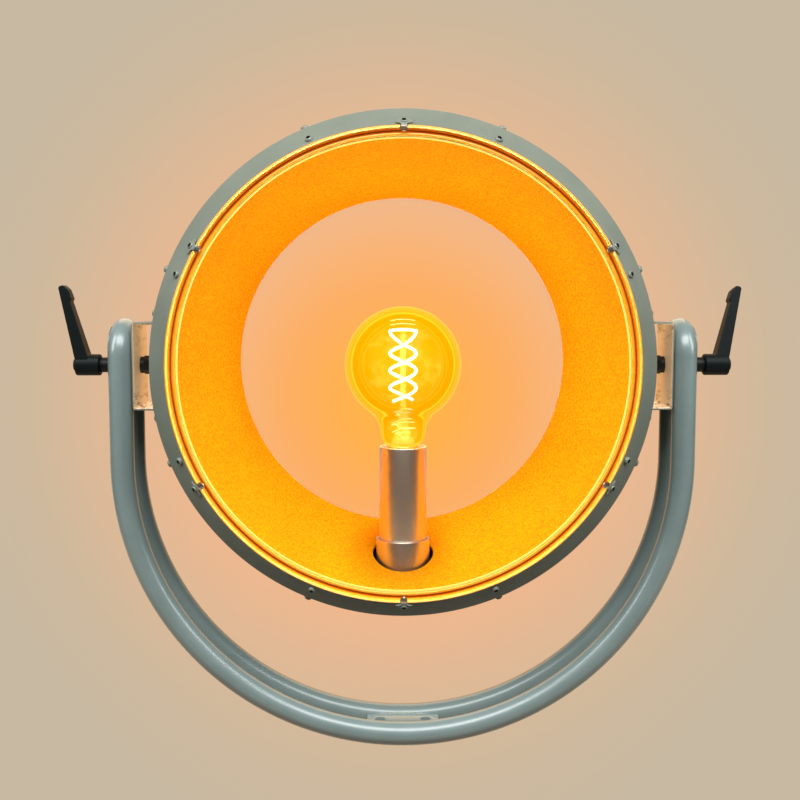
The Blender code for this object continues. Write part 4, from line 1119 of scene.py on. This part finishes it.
for side, sign in SIDES.items():
    place = Matrix.Translation(PIVOT) @ SIDE_TURN[side]
    insert_body = f"{side}_lever_insert"
    handle_body = f"{side}_lever_handle"
    fit(f"threaded_insert_{side}", insert_mesh, black_steel, insert_body,
        [f"lever_insert_{side}"], place @ ALONG_X)
    fit(f"cast_handle_{side}", handle_mesh, lever_black, handle_body, [f"lever_handle_{side}"],
        place @ Matrix.Rotation(LEVER_TURN[side], 4, "X"))
    fit(f"keeper_screw_{side}", keeper_mesh, black_steel, insert_body, [f"lever_screw_{side}"],
        place @ ALONG_X)
    spring = fit(f"return_spring_{side}", spring_mesh, zinc, insert_body,
                 [f"lever_spring_{side}"], place)
    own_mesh(spring)

# ============================================================ Lampholder
# A turned cup fixed to the bottom of the drum by a hollow nipple and a nut, and a tube of satin metal in
# it that carries a glazed porcelain insert. Its lead leaves through a gland in the rear ring.

HOLDER_CUP_RADIUS = 0.022
CUP_TOP_Z = -0.143
CUP_FLOOR_Z = -0.1958
CUP_WALL = 0.0022
SLEEVE_RADIUS = 0.0195
SLEEVE_TOP_Z = -0.067
SLEEVE_END_Z = -0.165
CUP_FLOOR = 0.0025
INSERT_RADIUS = 0.0177
INSERT_WELL_RADIUS = 0.0139
INSERT_WELL_DEPTH = 0.028
INSERT_END_Z = -0.118
NIPPLE_RADIUS = 0.005
NIPPLE_BORE_RADIUS = 0.0033
NIPPLE_END_Z = -0.2035
NIPPLE_FLANGE_RADIUS = 0.0075
NIPPLE_THREAD_STEPS = 18
NUT_BORE_RADIUS = 0.0062
NUT_RADIUS = 0.0085
NUT_THICKNESS = 0.003
LEAD_RADIUS = 0.0032
LEAD_Z = -0.182
LEAD_BEND = 0.016
LEAD_END_Y = 0.0465
GLAND_START_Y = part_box("cable_gland")[0][1]
GLAND_END_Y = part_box("cable_gland")[1][1]
GLAND_BORE_RADIUS = 0.004
GLAND_NUT_BORE_RADIUS = 0.0085
GLAND_NUT_RADIUS = 0.0105
GLAND_NUT_END_Y = 0.0603
GLAND_RIBS = 16

holder_metal, spot = new_material("holder_metal")
lay = spot.stretched(1, 1, 14).noise(260, 3)
plug(shader_of(holder_metal), {
    "Base Color": spot.noise(60, 3).blend((0.78, 0.68, 0.58), (0.86, 0.76, 0.66)),
    "Roughness": lay.steps(0.3, 0.7, 0.34, 0.44),
    "Metallic": 1.0,
    "Normal": lay.bump(0.00005, 0.5),
})
AT_PIVOT = Matrix.Translation(PIVOT)
cup_floor = CUP_FLOOR_Z + CUP_FLOOR
cup_bore = NIPPLE_RADIUS + GAP
cup_inside = HOLDER_CUP_RADIUS - CUP_WALL
cup_profile = softened([(cup_bore, CUP_FLOOR_Z), (HOLDER_CUP_RADIUS, CUP_FLOOR_Z),
                        (HOLDER_CUP_RADIUS, CUP_TOP_Z), (cup_inside, CUP_TOP_Z), (cup_inside, cup_floor),
                        (cup_bore, cup_floor)], 0.0007, 3)
cup_hole = rod(LEAD_RADIUS + 0.001, 0.012, 0.026, Matrix.Translation((0, 0, LEAD_Z)) @ ALONG_Y)
cup_mesh = shaded(settled(carved(turned(cup_profile, 96), [cup_hole])))
holder_cup = fit("holder_cup", cup_mesh, holder_metal, "head", ["lampholder_collar"],
                 AT_PIVOT)
sleeve_profile = softened([(SLEEVE_RADIUS - SHEET, SLEEVE_END_Z), (SLEEVE_RADIUS, SLEEVE_END_Z),
                           (SLEEVE_RADIUS, SLEEVE_TOP_Z), (SLEEVE_RADIUS - SHEET, SLEEVE_TOP_Z)], 0.0006, 3)
sleeve_mesh = mesh_from("holder_tube", turned(sleeve_profile, 96))
holder_tube = fit("holder_tube", sleeve_mesh, holder_metal, "head",
                  ["lampholder_sleeve"], AT_PIVOT)

porcelain, spot = new_material("porcelain")
plug(shader_of(porcelain), {
    "Base Color": spot.noise(200, 3).blend((0.80, 0.77, 0.71), (0.88, 0.86, 0.81)),
    "Roughness": spot.noise(300, 2).steps(0.3, 0.7, 0.12, 0.25),
    "Coat Weight": 0.5,
})
well_top = SLEEVE_TOP_Z - 0.003
well_floor = well_top - INSERT_WELL_DEPTH
insert_shape = softened([(0, INSERT_END_Z), (0.012, INSERT_END_Z), (0.014, INSERT_END_Z + 0.006),
                         (INSERT_RADIUS, INSERT_END_Z + 0.010), (INSERT_RADIUS, well_top),
                         (INSERT_WELL_RADIUS, well_top), (INSERT_WELL_RADIUS, well_floor), (0, well_floor)],
                        0.0007, 3, closed=False)
fit("porcelain_insert", mesh_from("porcelain_insert", turned(insert_shape, 64, closed=False)), porcelain,
    "head", ["lampholder_insert"], AT_PIVOT)

brass, spot = new_material("brass")
plug(shader_of(brass), {
    "Base Color": spot.noise(180, 3).blend((0.62, 0.44, 0.16), (0.80, 0.60, 0.25)),
    "Roughness": spot.noise(700, 2).steps(0.3, 0.7, 0.24, 0.40),
    "Metallic": 1.0,
    "Normal": spot.noise(900, 2).bump(0.00005, 0.4),
})
flange = cup_floor + GAP
flange_top = flange + 0.002
nipple_profile = [(NIPPLE_BORE_RADIUS, NIPPLE_END_Z)]
for step in range(NIPPLE_THREAD_STEPS + 1):
    groove = 0.0004 * (step % 2)
    rise = (flange - NIPPLE_END_Z) * step / NIPPLE_THREAD_STEPS
    nipple_profile.append((NIPPLE_RADIUS - groove, NIPPLE_END_Z + rise))
nipple_profile += [(NIPPLE_FLANGE_RADIUS, flange), (NIPPLE_FLANGE_RADIUS, flange_top),
                   (NIPPLE_BORE_RADIUS, flange_top)]
fit("threaded_nipple", mesh_from("threaded_nipple", turned(nipple_profile, 40)), brass, "head",
    ["lampholder_nipple"], AT_PIVOT)
nut_top = -SHELL_RADIUS - GAP
nut_low = nut_top - NUT_THICKNESS
nut_bm = turned([(NUT_BORE_RADIUS, nut_low), (NUT_RADIUS, nut_low), (NUT_RADIUS, nut_top),
                 (NUT_BORE_RADIUS, nut_top)], 6)
fit("fixing_nut", eased(solid(nut_bm), 0.0003, 2, 40), zinc, "head", ["nipple_nut"], AT_PIVOT)

rubber, spot = new_material("lead_rubber")
plug(shader_of(rubber), {
    "Base Color": spot.noise(300, 3).blend((0.02, 0.02, 0.02), (0.04, 0.04, 0.038)),
    "Roughness": spot.noise(800, 2).steps(0.3, 0.7, 0.55, 0.7),
    "Normal": spot.noise(1200, 2).bump(0.00008, 0.5),
})
lead_line = [(0, 0, PIVOT.z + INSERT_END_Z - 0.0006)]
lead_line += [(0, y, PIVOT.z + z) for y, z in arc((LEAD_BEND, LEAD_Z + LEAD_BEND), LEAD_BEND, 180, 270, 16)]
lead_line += [(0, LEAD_END_Y, PIVOT.z + LEAD_Z)]
fit("inner_lead", wire_curve("inner_lead", lead_line, LEAD_RADIUS, 20), rubber, "head",
    ["internal_lead"])

gland_plastic, spot = new_material("gland_plastic")
plug(shader_of(gland_plastic), {
    "Base Color": spot.noise(260, 3).blend((0.022, 0.022, 0.022), (0.040, 0.040, 0.040)),
    "Roughness": spot.noise(900, 2).steps(0.3, 0.7, 0.42, 0.58),
    "Normal": spot.noise(1500, 2).bump(0.00006, 0.5),
})
gland_hex = REAR_Y + GAP
gland_core = turned(softened([(GLAND_BORE_RADIUS, GLAND_START_Y), (0.0078, GLAND_START_Y),
                              (0.0078, gland_hex), (0.0098, gland_hex), (0.0098, 0.0605), (0.0092, 0.0612),
                              (0.0092, 0.0622), (0.0097, 0.0628), (0.0097, 0.0712), (0.0070, GLAND_END_Y),
                              (GLAND_BORE_RADIUS, GLAND_END_Y)], 0.0005, 3), 64)
gland_nut = turned([(GLAND_NUT_BORE_RADIUS, gland_hex), (GLAND_NUT_RADIUS, gland_hex),
                    (GLAND_NUT_RADIUS, GLAND_NUT_END_Y), (GLAND_NUT_BORE_RADIUS, GLAND_NUT_END_Y)], 6)
rib_square = [(0.0093, -0.0006), (0.0101, -0.0006), (0.0101, 0.0006), (0.0093, 0.0006)]
gland_ribs = []
for rib in range(GLAND_RIBS):
    rib_turn = Matrix.Rotation(math.tau * rib / GLAND_RIBS, 4, "Z")
    gland_ribs.append(prism(rib_square, 0.0634, 0.0700, rib_turn))
gland_mesh = shaded(settled(carved(gland_core, [gland_nut] + gland_ribs, "UNION")))
fit("lead_gland", gland_mesh, gland_plastic, "head", ["cable_gland"],
    Matrix.Translation(PIVOT + Vector((0, 0, LEAD_Z))) @ ALONG_Y)

# ============================================================ Bulb
# A 95 mm globe of thin amber glass on an E27 screw cap. Inside, a clear glass stem with fine wires holds
# one flexible glowing filament, wound up and down as a double helix. It is lit, and it lights the ring. The
# glass's glow is painted on as emission, with lighter rings and pale patches that are painted reflections in
# its walls, and the stem and the wires glow with painted glints of the filament's light.

GLOBE_RADIUS = 0.0475
GLASS = 0.0009
NECK_END_Z = -0.066
FILAMENT_COIL_RADIUS = 0.0108
FILAMENT_PITCH = 0.0279
FILAMENT_LOW_ANGLE = 42
FILAMENT_LOOSE_ANGLE = 630
FILAMENT_TOP_ANGLE = 720
FILAMENT_CROSSING_Z = -0.0258
FILAMENT_TOP_Z = 0.0280
FILAMENT_RADIUS = 0.00115
WIRE_RADIUS = 0.00022
STEM_WIRES = 9
GLASS_HIGHLIGHT = (1.0, 0.68, 0.05)
CAP_LENGTH = 0.0285
CAP_THREAD_RADIUS = 0.0126
CAP_THREAD_DEPTH = 0.0005
CAP_THREAD_STEPS = 32
CAP_SKIRT_RADIUS = 0.0131
BULB_WATTS = 1.36
BULB_LIGHT_COLOUR = (1.0, 0.72, 0.22)
BULB_LIGHT_RADIUS = 0.016
BULB_LIGHT_PLACE = Vector((0.004, 0, 0.010))

amber_glass, spot = new_material("amber_glass")
facing = spot.node("ShaderNodeLayerWeight", {}, {"Blend": 0.5}, output="Facing")
reflection_patches = spot.noise(70, 4).steps(0.46, 0.60)
# Painted highlights: the lighter rings in this ramp, set by how squarely the glass faces the view, stand in
# for reflections in the glass walls.
rings = facing.ramp([(0.00, (0.96, 0.52, 0.003)), (0.12, (0.95, 0.47, 0.001)), (0.255, (0.92, 0.42, 0.000)),
                     (0.275, (1.00, 0.50, 0.012)), (0.30, (0.90, 0.41, 0.000)), (0.325, (0.90, 0.41, 0.000)),
                     (0.345, (1.00, 0.49, 0.008)), (0.37, (0.90, 0.40, 0.000)), (0.50, (0.88, 0.38, 0.000)),
                     (0.525, (1.00, 0.74, 0.030)), (0.545, (1.00, 0.74, 0.030)), (0.57, (0.92, 0.46, 0.004)),
                     (0.66, (0.94, 0.50, 0.006)), (0.72, (0.90, 0.43, 0.002)), (0.80, (0.94, 0.50, 0.004)),
                     (0.90, (0.86, 0.40, 0.004)), (1.00, (0.80, 0.33, 0.000))])
# Painted reflections: pale patches on the middle of the globe.
painted_reflection = reflection_patches * (facing < 0.25) * 0.55
plug(shader_of(amber_glass), {
    "Base Color": (0.55, 0.10, 0.0),
    "Roughness": 0.06,
    "Alpha": facing.steps(0.0, 0.9, 0.58, 0.88),
    "Emission Color": painted_reflection.blend(rings, GLASS_HIGHLIGHT),
    "Emission Strength": 0.95,
    "Specular IOR Level": 0.06,
})
globe = [(GLOBE_RADIUS * math.sin(math.radians(a)), GLOBE_RADIUS * math.cos(math.radians(a)))
         for a in range(0, 141, 4)]
neck = [(0.0262, -0.0398), (0.0243, -0.0415), (0.0222, -0.0442), (0.0202, -0.0475), (0.0190, -0.0510),
        (0.0185, -0.0545), (0.0182, -0.0580), (0.0174, -0.0610), (0.0158, -0.0636), (0.0134, NECK_END_Z)]
glass_share = (GLOBE_RADIUS - GLASS) / GLOBE_RADIUS
inner_wall = [(radius * glass_share, z * glass_share) for radius, z in globe]
inner_wall += [(radius - GLASS, z) for radius, z in neck]
glass_profile = globe + neck + list(reversed(inner_wall))
glass_mesh = mesh_from("globe_glass", turned(glass_profile, 96, closed=False), 60)
glass = fit("globe_glass", glass_mesh, amber_glass, "bulb", ["bulb_glass"], AT_PIVOT)
glass.visible_shadow = False

cap_top = NECK_END_Z - GAP
cap_profile = [(0, cap_top - CAP_LENGTH), (0.0040, cap_top - CAP_LENGTH), (0.0046, cap_top - 0.0270),
               (0.0105, cap_top - 0.0255)]
for step in range(CAP_THREAD_STEPS + 1):
    wave = math.cos(math.tau * step / 8)
    cap_profile.append((CAP_THREAD_RADIUS + CAP_THREAD_DEPTH * wave,
                        cap_top - 0.0240 + 0.0180 * step / CAP_THREAD_STEPS))
cap_profile += [(CAP_SKIRT_RADIUS, cap_top - 0.0050), (CAP_SKIRT_RADIUS, cap_top - 0.0006),
                (CAP_SKIRT_RADIUS - 0.0006, cap_top), (0, cap_top)]
fit("screw_cap", mesh_from("screw_cap", turned(cap_profile, 64, closed=False)), brass, "bulb",
    ["bulb_cap"], AT_PIVOT)

stem_glass, spot = new_material("stem_glass")
# Painted light: the stem glows with painted glints of the filament's light.
painted_glints = spot.noise(520, 3).steps(0.42, 0.60)
plug(shader_of(stem_glass), {
    "Base Color": spot.noise(400, 2).blend((1.0, 0.66, 0.10), (1.0, 0.80, 0.30)),
    "Roughness": 0.08,
    "Alpha": 0.45,
    "Emission Color": painted_glints.blend((0.50, 0.23, 0.005), (1.0, 0.86, 0.24)),
    "Emission Strength": 3.0,
})
stem_foot = NECK_END_Z + GAP
stem_profile = softened([(0, stem_foot), (0.0110, stem_foot), (0.0090, -0.0620), (0.0048, -0.0550),
                         (0.0042, -0.0430), (0.0034, -0.0370), (0.0024, -0.0340), (0.0022, -0.0300),
                         (0.0020, FILAMENT_TOP_Z - 0.0022), (0, FILAMENT_TOP_Z - 0.0014)], 0.0015, 3,
                        closed=False)
stem = fit("glass_stem", mesh_from("glass_stem", turned(stem_profile, 40, closed=False), 60), stem_glass,
           "bulb", ["bulb_stem"], AT_PIVOT)
stem.visible_shadow = False

filament_glow, spot = new_material("filament_glow")
beads = spot.noise(900, 2).steps(0.35, 0.65)
plug(shader_of(filament_glow), {
    "Base Color": (1.0, 0.8, 0.4),
    "Roughness": 0.5,
    "Emission Color": beads.blend((1.0, 0.90, 0.55), (1.0, 1.0, 0.85)),
    "Emission Strength": 16.0,
})
strand_step = 7.5


def strand(phase):
    """One rising strand of the double helix, pulled out straighter over its last quarter turn."""
    points = []
    angle = FILAMENT_LOW_ANGLE
    while angle <= FILAMENT_TOP_ANGLE:
        rise = FILAMENT_CROSSING_Z + FILAMENT_PITCH * (min(angle, FILAMENT_LOOSE_ANGLE) - 90) / 360
        loose = max(0.0, (angle - FILAMENT_LOOSE_ANGLE) / (FILAMENT_TOP_ANGLE - FILAMENT_LOOSE_ANGLE))
        turn = math.radians(angle) + phase
        points.append((FILAMENT_COIL_RADIUS * math.cos(turn), FILAMENT_COIL_RADIUS * math.sin(turn),
                       PIVOT.z + rise + (FILAMENT_TOP_Z - rise) * loose))
        angle += strand_step
    return points


bridge_z = PIVOT.z + FILAMENT_TOP_Z
filament_line = strand(0) + [(0.006, 0, bridge_z + 0.0004), (0, 0, bridge_z + 0.0006),
                             (-0.006, 0, bridge_z + 0.0004)] + strand(math.pi)[::-1]
filament = fit("helix_filament", wire_curve("helix_filament", filament_line, FILAMENT_RADIUS, 12),
               filament_glow, "bulb", ["bulb_filament"])
filament.visible_shadow = False

# Painted light: the support wires glow with painted glints of the filament's light.
bright_wire, spot = new_material("bright_wire")
plug(shader_of(bright_wire), {
    "Base Color": (1.0, 0.8, 0.4),
    "Roughness": 0.3,
    "Emission Color": spot.noise(700, 2).steps(0.35, 0.65).blend((1.0, 0.66, 0.08), (1.0, 0.98, 0.80)),
    "Emission Strength": 9.0,
})
hook_lines = [[(x, 0.001, PIVOT.z + z - 12 * x * x) for x in (-0.0105, -0.006, 0.0, 0.006, 0.0105)]
              for z in (0.0335, 0.0370)]
stem_wires = []
for wire_number in range(STEM_WIRES):
    height = -0.0375 - 0.0235 * wire_number / STEM_WIRES
    reach = 0.0078 + 0.0022 * math.sin(5.3 * wire_number)
    tilt = 0.0032 * math.sin(2.1 * wire_number + 0.6)
    depth = 0.004 * math.cos(3.7 * wire_number)
    stem_wires.append([(-reach, depth, PIVOT.z + height - tilt), (-reach * 0.3, -depth, PIVOT.z + height),
                       (0.001, depth * 0.5, PIVOT.z + height + tilt * 0.8),
                       (reach, -depth * 0.6, PIVOT.z + height + tilt * 0.4)])
for wire_number, wire_line in enumerate(hook_lines + stem_wires, 1):
    wire = fit(f"bulb_wire_{wire_number}", wire_curve("bulb_wire", wire_line, WIRE_RADIUS, 8), bright_wire,
               "bulb")
    wire.visible_shadow = False

bulb_light = bpy.data.lights.new("bulb_light", "POINT")
bulb_light.energy = BULB_WATTS
bulb_light.color = BULB_LIGHT_COLOUR
bulb_light.shadow_soft_size = BULB_LIGHT_RADIUS
bulb_lamp = bpy.data.objects.new("bulb_light", bulb_light)
bulb_lamp.location = PIVOT + BULB_LIGHT_PLACE
bpy.context.scene.collection.objects.link(bulb_lamp)


def left_out(light, name, pieces):
    """Keeps a light off some pieces."""
    kept_off = bpy.data.collections.new(name)
    for piece in pieces:
        kept_off.objects.link(piece)
    for entry in kept_off.collection_objects:
        entry.light_linking.link_state = "EXCLUDE"
    light.light_linking.receiver_collection = kept_off


left_out(bulb_lamp, "not_lit_by_bulb", [glass, stem])
for side_light in side_lights:
    left_out(side_light, f"not_lit_by_{side_light.name}", [reflector, holder_cup, holder_tube, glass, stem])
